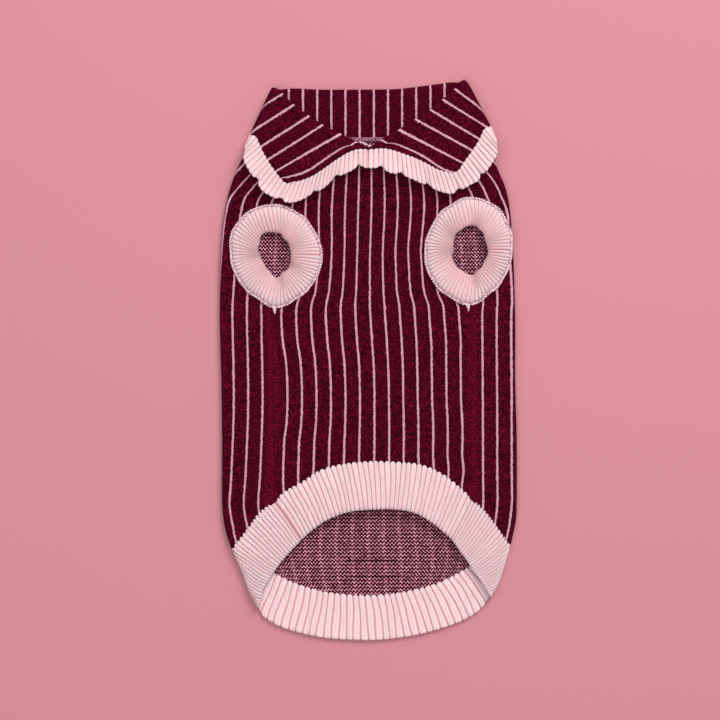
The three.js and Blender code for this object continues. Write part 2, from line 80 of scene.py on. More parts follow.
# Side folds' axis lines from the neck to the hem seam, and the side seams: x, y.
FOLD_LEFT = [
    (-69.5, 145.5), (-76.5, 135.5), (-82.5, 124), (-87.5, 111), (-90.5, 98), (-92.5, 82), (-93.5, 62.5),
    (-94, 26.5), (-93, -12.5), (-92.5, -51.5), (-92.5, -90.5), (-91.5, -103.5), (-89.5, -113),
    (-86.7, -121.3),
]
FOLD_RIGHT = [
    (73.5, 146), (78, 135.5), (81.5, 124), (87, 111), (89.5, 98), (91, 82), (92, 62.5),
    (93, 26.5), (93, -12.5), (94, -51.5), (94, -90.5), (93.5, -103.5), (91.5, -113), (90.2, -119),
]
SEAM_LEFT = [
    (-45, 141.3), (-49.5, 124), (-54, 104.5), (-58, 85), (-61.5, 59), (-62.5, 34.5), (-62, -25.5),
    (-60.5, -92),
]
SEAM_RIGHT = [
    (48, 141.4), (53, 124), (57.5, 106), (61.5, 85), (65.5, 59), (67.5, 34.5), (67, -25.5), (67, -90.5),
]
# Where the hem ribs start, left to right: x, y. The side seams end at two of its rows.
SEAM_ROW_LEFT = 3
SEAM_ROW_RIGHT = 13
HEM_FRONT = [
    (-86.7, -121.3), (-77.5, -109.5), (-70.5, -100), (-60.5, -92), (-53, -85.5), (-41.5, -79), (-31.5, -72.5),
    (-18.5, -68.5), (0, -66.5), (20.5, -67), (33.5, -68.5), (44, -72.5), (54, -79), (67, -90.5), (76, -99.5),
    (82.5, -108), (90.2, -119),
]
HEM_BACK = [
    (-86.7, -121.3), (-77, -129.5), (-51, -144.5), (-26, -152), (0, -154), (22, -152), (46.5, -145.5),
    (72, -131.5), (90.2, -119),
]
# The outermost pinstripe of each wrap: y, x on the left, x on the right.
WRAP_STRIPES = [
    (-125, -84, 87), (-115, -86.6, 90), (-107, -88.2, 91.6), (-98, -89.8, 92.8), (-90, -90.2, 93.4),
    (-71, -88.9, 93.2), (-25, -87.4, 93.1), (26, -88.2, 92.8), (40, -88, 93.3), (66, -86.2, 92.1),
    (85, -84.6, 91.2), (97, -82.7, 90), (106, -80.1, 86.8), (115, -73, 82.5), (125, -64, 75), (150, -45, 55),
]
WRAP_COUNT = 22  # stripes round the back, between those two
ARMHOLES = [
    {"x": -60, "y": 68.5, "outer": (30.5, 30, 31.5, 33.5, 34, 33, 30, 29.5, 30.5, 34.5, 31.5, 30.5)},
    {"x": 65.8, "y": 71.7, "outer": (28, 30.5, 34, 35, 32, 29.5, 29.5, 31, 33, 36, 31, 28.5)},
]
ARMHOLE_LAP = 1.2  # how far an armhole's edge lies in under the cuff's outer edge
ARMHOLE_REACH = 3  # and how far from there a corner of the mesh still belongs to that edge
BELLY_CROWN = 1.3  # how far the belly swells, and how far the hem's mouth stands open
MOUTH_RISE = 2.2
# Soft troughs (negative) and ridges of the top layer: x, y at both ends, half width, height. All in mm.
CREASES = [
    (-57, 28, -50, 2, 3.5, -0.8), (-66, 30, -74, 6, 3, -0.6), (-40, 32, -20, 12, 5, -0.6),
    (63, 28, 57, 0, 3.5, -0.8), (72, 30, 79, 8, 3, -0.6), (44, 36, 26, 16, 5, -0.55),
    (-30, 84, -8, 92, 5, -0.7), (36, 88, 14, 96, 5, -0.6), (-88, 40, -86, -30, 3, 0.5),
    (87, 44, 86, -24, 3, 0.5), (-76, 60, -89, 44, 3, -0.5), (84, 60, 92, 46, 2.5, -0.4),
    (-45, -30, -38, -66, 6, 0.5), (8, -20, 2, -60, 8, 0.6), (46, -36, 50, -68, 5, -0.5),
    (-60, 10, -61, -84, 1.3, -0.7), (67, 12, 67, -84, 1.3, -0.7), (-12, 60, -16, 10, 9, -0.5),
    (22, 50, 20, 4, 9, 0.4), (-78, -40, -76, -96, 4, 0.4), (78, -50, 80, -96, 3.5, -0.4),
    (-30, 104, -24, 80, 6, -0.5),
]


def line(rows, first=0, last=None):
    """A table of points as a smooth line, read from 0 to 1 along its length between two rows."""
    points = np.array(rows, float)
    ends = len(points) - 1
    last = ends if last is None else last
    fine = 60
    t = np.linspace(0, ends, fine * ends + 1)
    i = np.minimum(t.astype(int), ends - 1)
    w = (t - i)[:, None]
    p, q, r, s = (points[np.clip(i + k, 0, ends)] for k in (-1, 0, 1, 2))
    curve = q + 0.5 * ((r - p) * w + (2 * p - 5 * q + 4 * r - s) * w ** 2 + (3 * q - p - 3 * r + s) * w ** 3)
    steps = np.linalg.norm(np.diff(curve, axis=0), axis=1)
    length = np.concatenate([[0], np.cumsum(steps)])
    start = length[fine * first]
    span = length[fine * last] - start

    def at(share):
        d = start + span * np.asarray(share, float)
        return np.stack([np.interp(d, length, curve[:, k]) for k in range(curve.shape[1])], axis=-1)

    return at


def through(rows, column, y):
    """One column of a table at y, along a smooth curve."""
    curve = line(np.array(rows, float)[:, [0, column]])(np.linspace(0, 1, 600))
    return np.interp(y, curve[:, 0], curve[:, 1])


def mix(a, b, t):
    return a + (b - a) * np.asarray(t, float)[..., None]


def smooth(x, low, high):
    t = np.clip((x - low) / (high - low), 0, 1)
    return t * t * (3 - 2 * t)


def part(curve, start, end):
    return lambda t: curve(start + (end - start) * np.asarray(t, float))


def patch(left, right, upper, lower):
    """A Coons patch between four lines in plan: u runs across, v down from the neck to the hem."""
    def at(u, v):
        top = upper(u) - mix(left(0), right(0), u)
        bottom = lower(u) - mix(left(1), right(1), u)
        return mix(left(v), right(v), u) + top * (1 - v)[:, None] + bottom * v[:, None]

    return at


def outward(curve, t, sign):
    """The outward direction of a side fold's axis line: sign is -1 on the left and 1 on the right."""
    ahead = curve(np.minimum(1, t + 0.02)) - curve(np.maximum(0, t - 0.02))
    out = np.stack([-ahead[:, 1], ahead[:, 0]], axis=-1) * sign
    return out / np.linalg.norm(out, axis=1)[:, None]


def middle(y):
    """Height of the flattened tube's middle plane, raised where the back lies on the collar's fall."""
    return OUT_FACE + COLLAR_LIFT * smooth(y, 105, 127)


def creased(x, y):
    """How far the top layer stands above its flat place: the belly, the hem's mouth and the creases."""
    rise = BELLY_CROWN * np.maximum(0, 1 - (x / 88) ** 2) * smooth(-y, -100, -40)
    rise = rise + MOUTH_RISE * np.maximum(0, 1 - (x / 62) ** 2) * smooth(-y, 60, 105)
    for x0, y0, x1, y1, half, height in CREASES:
        dx, dy = x1 - x0, y1 - y0
        t = np.clip(((x - x0) * dx + (y - y0) * dy) / (dx * dx + dy * dy), 0, 1)
        away = np.hypot(x - x0 - t * dx, y - y0 - t * dy) / half
        rise = rise + height * np.exp(-away ** 2) * (0.45 + 0.55 * np.sin(np.pi * (0.15 + 0.7 * t)))
    return rise


def stand(points, turn, out, height):
    """Places on the flattened tube, from its axis in plan, the turn round a side fold and a height."""
    x, y = points[:, 0], points[:, 1]
    side = np.sin(turn) * height
    over = (np.abs(x) < 91.5) * smooth(92 - np.abs(x), 0, 5)
    rise = np.where(turn == 0, creased(x, y) * over, 0)
    z = middle(y) + np.cos(turn) * height + rise
    return np.stack([x + out[:, 0] * side, y + out[:, 1] * side, z], axis=-1)


def on_top(points, height):
    """Places on the top layer, away from the side folds."""
    return stand(points, np.zeros(len(points)), np.zeros((len(points), 2)), height)


def stretches(u, counts):
    """Which stretch of a strip each u lies in, and how far along it, for stretches of so many columns."""
    at = np.round(u * sum(counts), 5)
    edges = np.cumsum([0] + list(counts))
    which = np.clip(np.searchsorted(edges, at, side="right") - 1, 0, len(counts) - 1)
    return which, (at - edges[which]) / np.array(counts)[which]


def turns(which, t):
    """The turn in each stretch round the tube: top, side fold, underside, side fold and top again."""
    return np.choose(which, [0 * t, t * math.pi, 0 * t + math.pi, (1 - t) * math.pi, 0 * t])


def polar(values, degrees):
    """A radius at an angle in degrees, from a table with one value every 30 degrees."""
    values = np.array(values, float)
    at = np.mod(degrees, 360) / 30
    first = np.floor(at).astype(int)
    t = (1 - np.cos((at - first) * np.pi)) / 2
    return values[first % 12] * (1 - t) + values[(first + 1) % 12] * t


def cut_armholes(bm):
    """Opens the armholes in the top layer and draws their edges in under the cuffs' outer edge."""
    turn_out(bm)
    for hole in ARMHOLES:
        def inside(co, margin):
            dx, dy = co.x / MM - hole["x"], co.y / MM - hole["y"]
            reach = float(polar(hole["outer"], math.degrees(math.atan2(dy, dx))))
            return math.hypot(dx, dy) < reach - margin and co.z > MM * OUT_FACE

        gone = [f for f in bm.faces if inside(f.calc_center_median(), ARMHOLE_LAP)]
        bmesh.ops.delete(bm, geom=gone, context="FACES")
        for v in bm.verts:
            if not v.is_boundary or not inside(v.co, -ARMHOLE_REACH):
                continue
            dx, dy = v.co.x / MM - hole["x"], v.co.y / MM - hole["y"]
            reach = float(polar(hole["outer"], math.degrees(math.atan2(dy, dx)))) - ARMHOLE_LAP
            away = math.hypot(dx, dy)
            v.co.x = MM * (hole["x"] + dx * reach / away)
            v.co.y = MM * (hole["y"] + dy * reach / away)


def turn_out(bm):
    """Turns the sheet's faces over where its first columns, which lie on the top layer, look down."""
    bm.faces.ensure_lookup_table()
    bm.normal_update()
    first = sum(f.normal.z for f in bm.faces if f.calc_center_median().z > MM * OUT_FACE)
    if first < 0:
        bmesh.ops.reverse_faces(bm, faces=bm.faces)


def sheet_grid(across, down, place):
    """A grid whose points, and whose places in the knit, place gives in mm for shares u and v."""
    bm = bmesh.new()
    bmesh.ops.create_grid(bm, x_segments=across, y_segments=down, size=0.5)
    bm.verts.ensure_lookup_table()
    flat = np.array([v.co[:2] for v in bm.verts]) + 0.5
    points, knit = place(flat[:, 0], 1 - flat[:, 1])
    layer = bm.loops.layers.uv.new("UVMap")
    for v, point, at in zip(bm.verts, points * MM, knit):
        v.co = point
        for loop in v.link_loops:
            loop[layer].uv = at
    return bm


def finished(name, bm, materials):
    """Makes the object of a mesh that is ready, smoothly shaded."""
    for f in bm.faces:
        f.smooth = True
    mesh = bpy.data.meshes.new(name)
    bm.to_mesh(mesh)
    bm.free()
    piece = bpy.data.objects.new(name, mesh)
    bpy.context.collection.objects.link(piece)
    for material in materials:
        mesh.materials.append(material)
    return piece


def cloth(name, across, down, place, finish):
    """A sheet of the jacquard, with its birdseye side within."""
    bm = sheet_grid(across, down, place)
    finish(bm)
    piece = finished(name, bm, [jacquard, birdseye])
    wall = piece.modifiers.new("wall", "SOLIDIFY")
    wall.thickness = CLOTH * MM
    wall.offset = 0
    wall.material_offset = 1
    return piece


def linear(colour):
    """An sRGB hex colour as linear RGBA."""
    parts = [int(colour[i:i + 2], 16) / 255 for i in (1, 3, 5)]
    return [c / 12.92 if c < 0.04045 else ((c + 0.055) / 1.055) ** 2.4 for c in parts] + [1]


def add(tree, kind, links=(), **settings):
    """Adds a node with its settings. links are (input, value or output socket)."""
    made = tree.nodes.new(kind)
    for key, value in settings.items():
        setattr(made, key, value)
    for socket, value in links:
        if isinstance(value, bpy.types.NodeSocket):
            tree.links.new(value, made.inputs[socket])
        else:
            made.inputs[socket].default_value = value
    return made


def calc(operation, *values):
    """The result of one math step on numbers and outputs, in the tree that the outputs are in."""
    tree = next(value.id_data for value in values if isinstance(value, bpy.types.NodeSocket))
    return add(tree, "ShaderNodeMath", list(enumerate(values)), operation=operation).outputs[0]


def blend(factor, a, b):
    """Colour a turned to b by a factor. Both are hex colours or outputs."""
    a, b = (linear(colour) if isinstance(colour, str) else colour for colour in (a, b))
    return add(factor.id_data, "ShaderNodeMix", [(0, factor), (6, a), (7, b)], data_type="RGBA").outputs[2]


def from_half(value):
    """How far a value's fraction is from one half: 0.5 at whole numbers, 0 between them."""
    return calc("ABSOLUTE", calc("SUBTRACT", calc("FRACT", value), 0.5))


def from_whole(value):
    """How far a value is from the nearest whole number."""
    return from_half(calc("ADD", value, 0.5))


def knit_fabric(name, roughness, sheen, sheen_tint):
    """A wool fabric's material with its tree, shader and the knit's place: wales across and courses up."""
    material = bpy.data.materials.new(name)
    material.use_nodes = True
    tree = material.node_tree
    shader = tree.nodes["Principled BSDF"]
    shader.inputs["Roughness"].default_value = roughness
    shader.inputs["Specular IOR Level"].default_value = 0.05
    shader.inputs["Sheen Weight"].default_value = sheen
    shader.inputs["Sheen Roughness"].default_value = 0.45
    shader.inputs["Sheen Tint"].default_value = linear(sheen_tint)
    place = add(tree, "ShaderNodeUVMap", uv_map="UVMap")
    parts = add(tree, "ShaderNodeSeparateXYZ", [(0, place.outputs[0])])
    return material, tree, shader, parts.outputs[0], parts.outputs[1]


def stitches(wale, course):
    """Heights of knit stitches: two slanting legs a wale, from 0 in the gaps to 1 on the yarn."""
    across = from_half(wale)
    slant = calc("MULTIPLY_ADD", across, 1.1, course)
    turn = calc("SUBTRACT", calc("FRACT", slant), 0.5)
    leg = calc("SUBTRACT", 1.0, calc("MULTIPLY", calc("MULTIPLY", turn, turn), 3.2))
    from_leg = calc("SUBTRACT", across, 0.25)
    square = calc("MULTIPLY", from_leg, from_leg)
    round_leg = calc("SUBTRACT", 1.0, calc("MULTIPLY", square, 11.0))
    return calc("MULTIPLY", leg, round_leg)


def noise(tree, scale, detail, roughness):
    """Noise on the object's own coordinates; scale is in cells a metre."""
    place = add(tree, "ShaderNodeTexCoord").outputs["Object"]
    settings = [("Vector", place), ("Scale", scale), ("Detail", detail), ("Roughness", roughness)]
    return add(tree, "ShaderNodeTexNoise", settings).outputs[0]


def ragged(value, scale, amount):
    """A value that wavers a little, so that an edge drawn with it is hairy. amount is the whole width."""
    waver = calc("SUBTRACT", noise(value.id_data, scale, 2, 0.7), 0.5)
    return calc("MULTIPLY_ADD", waver, amount, value)


def ramp(value, low, high):
    """A value spread so that low gives 0 and high gives 1."""
    sockets = [("Value", value), ("From Min", low), ("From Max", high)]
    return add(value.id_data, "ShaderNodeMapRange", sockets).outputs[0]


def bump(shader, height, depth):
    """Raises the surface by a height in units of depth, in metres."""
    tree = height.id_data
    made = add(tree, "ShaderNodeBump", [("Strength", 1.0), ("Distance", depth), ("Height", height)])
    tree.links.new(made.outputs[0], shader.inputs["Normal"])


# Brushed wool jacquard, right side: soft hairs hide most of each stitch and catch the light at the folds.
# The seams pull the knit open beside them, so its redder core shows there.
jacquard, tree, shader, stripe, course = knit_fabric("brushed_wool_jacquard", 0.95, 0.02, WOOL_SHEEN)
wale = calc("MULTIPLY", stripe, WALES_PER_STRIPE)
rows_up = calc("DIVIDE", course, COURSE)
loops = stitches(wale, rows_up)
hair = noise(tree, JACQUARD_TUFTS, 3, 0.8)
clump = noise(tree, JACQUARD_CLUMPS, 2, 0.6)
seam = ramp(stripe, BACK_SEAMS[0] + BACK_SEAM_FADE, BACK_SEAMS[0])
back_right = ramp(stripe, BACK_SEAMS[1] - BACK_SEAM_FADE, BACK_SEAMS[1])
belly_left = ramp(stripe, BELLY_SEAMS[0] + BELLY_SEAM_FADE, BELLY_SEAMS[0])
belly_right = ramp(stripe, BELLY_SEAMS[1] - BELLY_SEAM_FADE, BELLY_SEAMS[1])
seam = calc("MAXIMUM", seam, calc("MULTIPLY", back_right, belly_left))
seam = calc("MAXIMUM", seam, belly_right)
bright = calc("MULTIPLY_ADD", clump, 0.16, calc("MULTIPLY_ADD", seam, 0.05, hair))
# The stitches' legs are painted lighter and the gaps between them darker: painted shade between the loops.
bright = calc("MULTIPLY_ADD", loops, 0.07, bright)
ground = blend(ramp(bright, 0.5, 0.64), BURGUNDY_DEEP, BURGUNDY)
ground = blend(ramp(bright, 0.64, 0.74), ground, BURGUNDY_HAIR)
off = from_whole(ragged(stripe, 620, 0.15))
on_stripe = calc("MULTIPLY", ramp(off, *STRIPE_EDGE), calc("SUBTRACT", 1.0, seam))
pink = blend(ramp(loops, 0.2, 0.8), STRIPE_SHADE, STRIPE_PINK)
colour = blend(on_stripe, ground, pink)
tree.links.new(colour, shader.inputs["Base Color"])
raised = calc("MULTIPLY_ADD", on_stripe, 0.35, loops)
bump(shader, calc("MULTIPLY_ADD", hair, 1.4, raised), JACQUARD_RELIEF)

# The jacquard's wrong side: both yarns come up in turn, which makes a birdseye of pale pink zigzags on
# burgundy, with a little more pink behind each pinstripe.
birdseye, tree, shader, stripe, course = knit_fabric("jacquard_birdseye_inside", 0.95, 0.03, BIRDSEYE_SHEEN)
wale = calc("MULTIPLY", stripe, BACK_WALES_PER_STRIPE)
fold_wale = from_half(calc("MULTIPLY", wale, 0.5))
rows_level = calc("DIVIDE", course, BACK_COURSE)
rows_up = calc("MULTIPLY_ADD", fold_wale, 2.0, rows_level)
zigzag = calc("COSINE", calc("MULTIPLY", rows_up, math.pi))
straight = calc("COSINE", calc("MULTIPLY", rows_level, math.pi))
dots = calc("MULTIPLY", calc("COSINE", calc("MULTIPLY", wale, math.pi)), straight)
bead = calc("MULTIPLY_ADD", zigzag, 0.32, dots)
hair = noise(tree, BIRDSEYE_TUFTS, 3, 0.8)
behind = from_whole(stripe)
bead = calc("MULTIPLY_ADD", ramp(behind, 0.13, 0.06), 0.25, bead)
bead = calc("MULTIPLY_ADD", calc("SUBTRACT", hair, 0.5), 1.6, bead)
dark = blend(ramp(hair, 0.42, 0.6), *BIRDSEYE_DARK)
light = blend(ramp(hair, 0.35, 0.6), *BIRDSEYE_LIGHT)
tree.links.new(blend(ramp(bead, 0.18, 0.5), dark, light), shader.inputs["Base Color"])
bump(shader, bead, BIRDSEYE_RELIEF)

axis_left = line(FOLD_LEFT)
axis_right = line(FOLD_RIGHT)
seam_left = line(SEAM_LEFT)
seam_right = line(SEAM_RIGHT)
hem_left = line(HEM_FRONT[:SEAM_ROW_LEFT + 1][::-1])
hem_right = line(HEM_FRONT[SEAM_ROW_RIGHT:][::-1])


def neck_line(dip):
    """The neck seam from the left fold's axis to the right one's, dipping in the middle."""
    low, high = np.array(FOLD_LEFT[0], float), np.array(FOLD_RIGHT[0], float)

    def at(s):
        s = np.asarray(s, float)
        points = mix(low, high, s)
        points[..., 1] -= dip * (1 - np.abs(2 * s - 1) ** 1.6)
        return points

    return at


FRONT_NECK_DIP = 8.6
BACK_NECK_DIP = 1.2
front_neck = neck_line(FRONT_NECK_DIP)
back_neck = neck_line(BACK_NECK_DIP)
neck_width = FOLD_RIGHT[0][0] - FOLD_LEFT[0][0]
seam_share_left = (SEAM_LEFT[0][0] - FOLD_LEFT[0][0]) / neck_width
seam_share_right = (SEAM_RIGHT[0][0] - FOLD_LEFT[0][0]) / neck_width

BACK_COLUMNS = (24, 12, 100, 12, 24)  # top left, side fold, underside, side fold and top right
BACK_ROWS = 150


def back_place(u, v):
    """Places of the back in the flattened tube, from its left side seam round to its right one."""
    which, t = stretches(u, BACK_COLUMNS)
    points, out = np.zeros((len(u), 2)), np.zeros((len(u), 2))
    fold = math.pi * MID_FACE
    neck_left, neck_right = part(front_neck, seam_share_left, 0), part(front_neck, 1, seam_share_right)
    top_left = patch(seam_left, axis_left, neck_left, hem_left)
    below = patch(axis_left, axis_right, back_neck, line(HEM_BACK))
    top_right = patch(axis_right, seam_right, neck_right, hem_right)
    for k, surface in ((0, top_left), (2, below), (4, top_right)):
        m = which == k
        points[m] = surface(t[m], v[m])
    for k, axis, sign in ((1, axis_left, -1), (3, axis_right, 1)):
        m = which == k
        points[m] = axis(v[m])
        out[m] = outward(axis, v[m], sign)
    x, y = points[:, 0], points[:, 1]
    left = through(WRAP_STRIPES, 1, y)
    right = WRAP_COUNT * STRIPE_PITCH + through(WRAP_STRIPES, 2, y)
    start = left - axis_left(v)[:, 0] + fold
    end = right - axis_right(v)[:, 0] - fold
    under = start + (end - start) * t
    wrap = np.choose(which, [left - x, start - fold * (1 - t), under, end + fold * t, right - x])
    turn = turns(which, t)
    return stand(points, turn, out, MID_FACE), np.stack([wrap / STRIPE_PITCH, -y], axis=-1)


back = cloth("back_cloth", sum(BACK_COLUMNS), BACK_ROWS, back_place, cut_armholes)
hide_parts("back_panel")
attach(back, "root")

# The belly panel.
# A narrower width of the same jacquard between the side seams, with its hem arched up to clear the dog's
# belly. The wider linking at the seams draws its outer pinstripes in below the leg holes.
BELLY_COLUMNS = 76
BELLY_ROWS = 130
# Pinstripes 1, 7 and 13, counted from the left: y, and the x of each.
BELLY_STRIPES = [
    (-95, -54, 3.7, 59.5), (-81, -55.2, 3.7, 60.8), (-71, -55.3, 3.8, 61.9), (-61, -55, 3.9, 61),
    (-51.5, -54.5, 4, 61.2), (-38.5, -52.9, 4, 61), (-25.5, -52.5, 4, 60.2), (-12.5, -52.7, 3.8, 60.1),
    (0, -53.6, 3.3, 60), (13, -55.7, 2.4, 60.1), (26, -56.5, 1.6, 59), (36, -55.9, 1, 58.1),
    (46, -51.9, 1, 53.6), (65.5, -49, 1, 51.2), (75, -48.8, 1.3, 50.8), (104.5, -49, 2.1, 53.4),
    (140, -42, 2, 46),
]


def belly_place(u, v):
    """Places of the belly in the top layer, with its stripes drawn in below the leg holes."""
    neck = part(front_neck, seam_share_left, seam_share_right)
    surface = patch(seam_left, seam_right, neck, line(HEM_FRONT, SEAM_ROW_LEFT, SEAM_ROW_RIGHT))
    points = surface(u, v)
    x, y = points[:, 0], points[:, 1]
    low, mid, high = (through(BELLY_STRIPES, k, y) for k in (1, 2, 3))
    stripe = np.where(x < mid, 1 + 6 * (x - low) / (mid - low), 7 + 6 * (x - mid) / (high - mid))
    return on_top(points, MID_FACE), np.stack([stripe + BELLY_NUMBER, -y], axis=-1)


belly = cloth("belly_cloth", BELLY_COLUMNS, BELLY_ROWS, belly_place, cut_armholes)
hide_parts("belly_panel")
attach(belly, "root")

# The hem ribs.
# Two-by-one ribs in pale pink wool, knitted on at the hem and seamed at both sides: two raised wales and a
# narrow groove. The belly's is drawn up in an arch and the back's lies flat, wrong side up, in the mouth.
RIB_PINK = "#fff0f3"
RIB_SHADE = "#f4c8d0"
# Painted shade in the rib's grooves.
RIB_GROOVE_SHADE = "#d98a98"
# Painted rosy shade near the cuffs' holes.
RIB_HOLE_SHADE = "#f8b6be"
RIB_RISE = 1.0
JOIN = 1.5  # how far the ribs' wales reach up into the jacquard where they are knitted on
RIB_TUFTS = 1300
RIB_RELIEF = 0.0007
COLUMNS_PER_RIB = 10
HEM_BELLY_ROWS = 22
HEM_BACK_ROWS = 24
HEM_COURSES = 30
CUFF_START = -40  # the number of a cuff's first course, at its linked edge
CUFF_COURSES = 20
RIB_SHEEN = "#fff0f2"
# The hem ribs' free edges. On the top layer the side seams end at two of its rows.
FREE_ROW_LEFT = 4
FREE_ROW_RIGHT = 12
FREE_FRONT = [
    (-71, -160.5), (-68.2, -149.5), (-61.8, -138), (-53.5, -127), (-43.5, -116.5), (-34.5, -108.5),
    (-25, -102.5), (-12, -98), (3, -96.5), (17.5, -96.5), (30.5, -99), (41.5, -105.5), (54, -116),
    (60.5, -125), (67.5, -135), (73.4, -143.8), (79.3, -153.5),
]
FREE_BACK = [
    (-71, -160.5), (-69.4, -165.4), (-64.6, -169.4), (-56, -173.8), (-42, -178), (-25, -181), (0, -182.2),
    (20.5, -180.5), (40, -176.7), (60, -170), (72.5, -162.5), (79.3, -153.5),
]
HEM_SIDE_LEFT = [(-86.7, -121.3), (-83.5, -128), (-80.5, -134), (-76.8, -144), (-74, -153), (-71, -160.5)]
HEM_SIDE_RIGHT = [(90.2, -119), (86.7, -130), (83.3, -141), (81.4, -147.5), (79.3, -153.5)]
RIB_SEAM_LEFT = [(-60.5, -92), (-51.5, -104), (-43.5, -116.5)]
RIB_SEAM_RIGHT = [(67, -90.5), (61, -103), (54, -116)]

# Pale pink wool rib: smooth-lying stitches on the raised wales, and painted shade, rosier, in the closed
# grooves.
rib_wool, tree, shader, rib, course = knit_fabric("pale_pink_wool_rib", 0.9, 0.2, RIB_SHEEN)
shader.inputs["Subsurface Weight"].default_value = 0.3
shader.inputs["Subsurface Radius"].default_value = (1, 0.4, 0.4)
shader.inputs["Subsurface Scale"].default_value = 0.002
hairy_rib = ragged(rib, 900, 0.16)
in_rib = calc("FRACT", hairy_rib)
wale = calc("MULTIPLY", calc("SUBTRACT", in_rib, 0.14), 2.78)
loops = stitches(wale, calc("DIVIDE", course, COURSE))
hair = noise(tree, RIB_TUFTS, 3, 0.7)
from_groove = calc("SUBTRACT", 0.5, from_half(hairy_rib))
# The gaps between stitches are painted shade; the hair noise darkens random tufts to the same colour.
ground = blend(ramp(loops, 0, 0.7), RIB_SHADE, RIB_PINK)
ground = blend(calc("MULTIPLY", ramp(hair, 0.5, 0.7), 0.5), ground, RIB_SHADE)
# Painted shade: the grooves and the faint line between each rib's two wales are drawn darker and rosier. The
# first rib of each band is also drawn in this colour.
middle_line = calc("MULTIPLY", ramp(from_groove, 0.43, 0.5), 0.45)
depth = calc("MAXIMUM", calc("MULTIPLY", ramp(from_groove, 0.2, 0.03), 0.85), middle_line)
depth = calc("MAXIMUM", depth, calc("MULTIPLY", ramp(rib, 0.6, 0.2), 0.7))
ground = blend(depth, ground, RIB_GROOVE_SHADE)
# The cuffs' courses are numbered below zero up to their holes. Towards the hole the rib is painted rosier:
# painted shade with pink bounce light, where the dome slopes down into the hole.
hole_shade = ramp(course, CUFF_START + 4, CUFF_START + CUFF_COURSES)
near_hole = calc("MULTIPLY", hole_shade, calc("LESS_THAN", course, -1.0))
ground = blend(calc("MULTIPLY", near_hole, 0.6), ground, RIB_HOLE_SHADE)
tree.links.new(ground, shader.inputs["Base Color"])
bump(shader, calc("MULTIPLY_ADD", hair, 1.2, loops), RIB_RELIEF)


def rib_profile(rib):
    """Height of a two-by-one rib above its groove, 0 to 1: the groove is at whole numbers."""
    from_groove = 0.5 - np.abs(np.mod(rib, 1) - 0.5)
    return smooth(from_groove, 0.02, 0.26) - 0.2 * np.exp(-((0.5 - from_groove) / 0.08) ** 2)


def rib_faces(rib, turn, outer, v):
    """Heights of a rib band's two faces on the flattened tube. The outer one is flat where it rests."""
    under = turn / math.pi
    rise = 0.55 + (rib_profile(rib) - 0.55) * smooth(v, 0, 0.12)
    outside = (OUT_FACE - 0.6 + RIB_RISE * rise) * (1 - under) + (OUT_FACE - 0.4 * (1 - rise)) * under
    inside = HOLLOW / 2 + 0.3 - rise * (0.25 + 0.75 * under)
    return np.where(outer, outside, inside)


def rib_band(name, across, down, place):
    """A band of the rib with both its faces. place takes shares u and v, and whether a point is outside."""
    rows = 2 * down + 2

    def both(u, v):
        row = np.round(v * rows)
        outer = (row <= down) | (row == rows)
        back = np.where(row == rows, 0, 2 * down + 1 - row)
        return place(u, np.where(row <= down, row, back) / down, outer)

    bm = sheet_grid(across, rows, both)
    bmesh.ops.remove_doubles(bm, verts=bm.verts, dist=1e-6)
    bmesh.ops.holes_fill(bm, edges=[e for e in bm.edges if e.is_boundary], sides=0)
    bmesh.ops.recalc_face_normals(bm, faces=bm.faces)
    return finished(name, bm, [rib_wool])


def knitted_on(surface, u, v, ribs):
    """A rib patch whose wales reach up in points into the jacquard that they are knitted on to."""
    reach = JOIN * np.abs(np.sin(ribs * math.pi)) * (1 - v) ** 3
    start = surface(u, np.zeros(len(u))) - surface(u, np.full(len(u), 0.06))
    start = start / np.linalg.norm(start, axis=1)[:, None]
    return surface(u, v) + start * reach[:, None]


def uneven(ribs, v):
    """Small sideways wander of the ribs, in ribs, so that no two run quite alike."""
    slow = 0.13 * np.sin(ribs * 0.83 + 2.2 * v) * np.sin(ribs * 0.27 + 1.3)
    return slow + 0.05 * np.sin(ribs * 2.3 - 5 * v)


HEM_BELLY_RIBS = 40


def hem_belly_place(u, v, outer):
    """Places of the belly's rib in the top layer, thinner where it is seamed to the back's."""
    ribs = u * HEM_BELLY_RIBS
    sides = np.minimum(u, 1 - u) * 20
    shift = uneven(ribs, v) * np.clip(sides, 0, 1)
    rise = rib_profile(ribs)
    upper = line(HEM_FRONT, SEAM_ROW_LEFT, SEAM_ROW_RIGHT)
    lower = line(FREE_FRONT, FREE_ROW_LEFT, FREE_ROW_RIGHT)
    surface = patch(line(RIB_SEAM_LEFT), line(RIB_SEAM_RIGHT), upper, lower)
    edge = 0.02 * (rise - 0.6) * smooth(v, 0.8, 1)
    points = knitted_on(surface, u + shift / HEM_BELLY_RIBS, v + edge, ribs)
    seam = 0.6 * np.exp(-(sides / 0.35) ** 2)
    height = rib_faces(ribs, 0, outer, v) - np.where(outer, seam + 0.5 * smooth(v, 0.9, 1), 0)
    return on_top(points, height), np.stack([ribs, v * HEM_COURSES], axis=-1)


hem_belly = rib_band("hem_belly_rib", HEM_BELLY_RIBS * COLUMNS_PER_RIB, HEM_BELLY_ROWS, hem_belly_place)
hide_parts("hem_belly")
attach(hem_belly, "root")

HEM_BACK_RIBS = 90
HEM_BACK_STRETCHES = (14, 2, 50, 2, 14)  # top left, side fold, underside, side fold and top right
# Where ribs start and end round the tube, so that those near the folds wrap over them on the slant:
# rib, from, to.
HEM_SLANT = [
    (0, 0, 0), (7, 7, 3.9), (14, 14, 7.6), (20, 18.5, 10.8), (26, 22.3, 14.2), (28, 23.6, 16), (34, 29.8, 25),
    (45, 41, 41), (56, 52.2, 57), (62, 58.4, 66), (64, 59.7, 67.8), (70, 63.5, 71.2), (76, 68, 74.4),
    (83, 75, 78.1), (90, 82, 82),
]


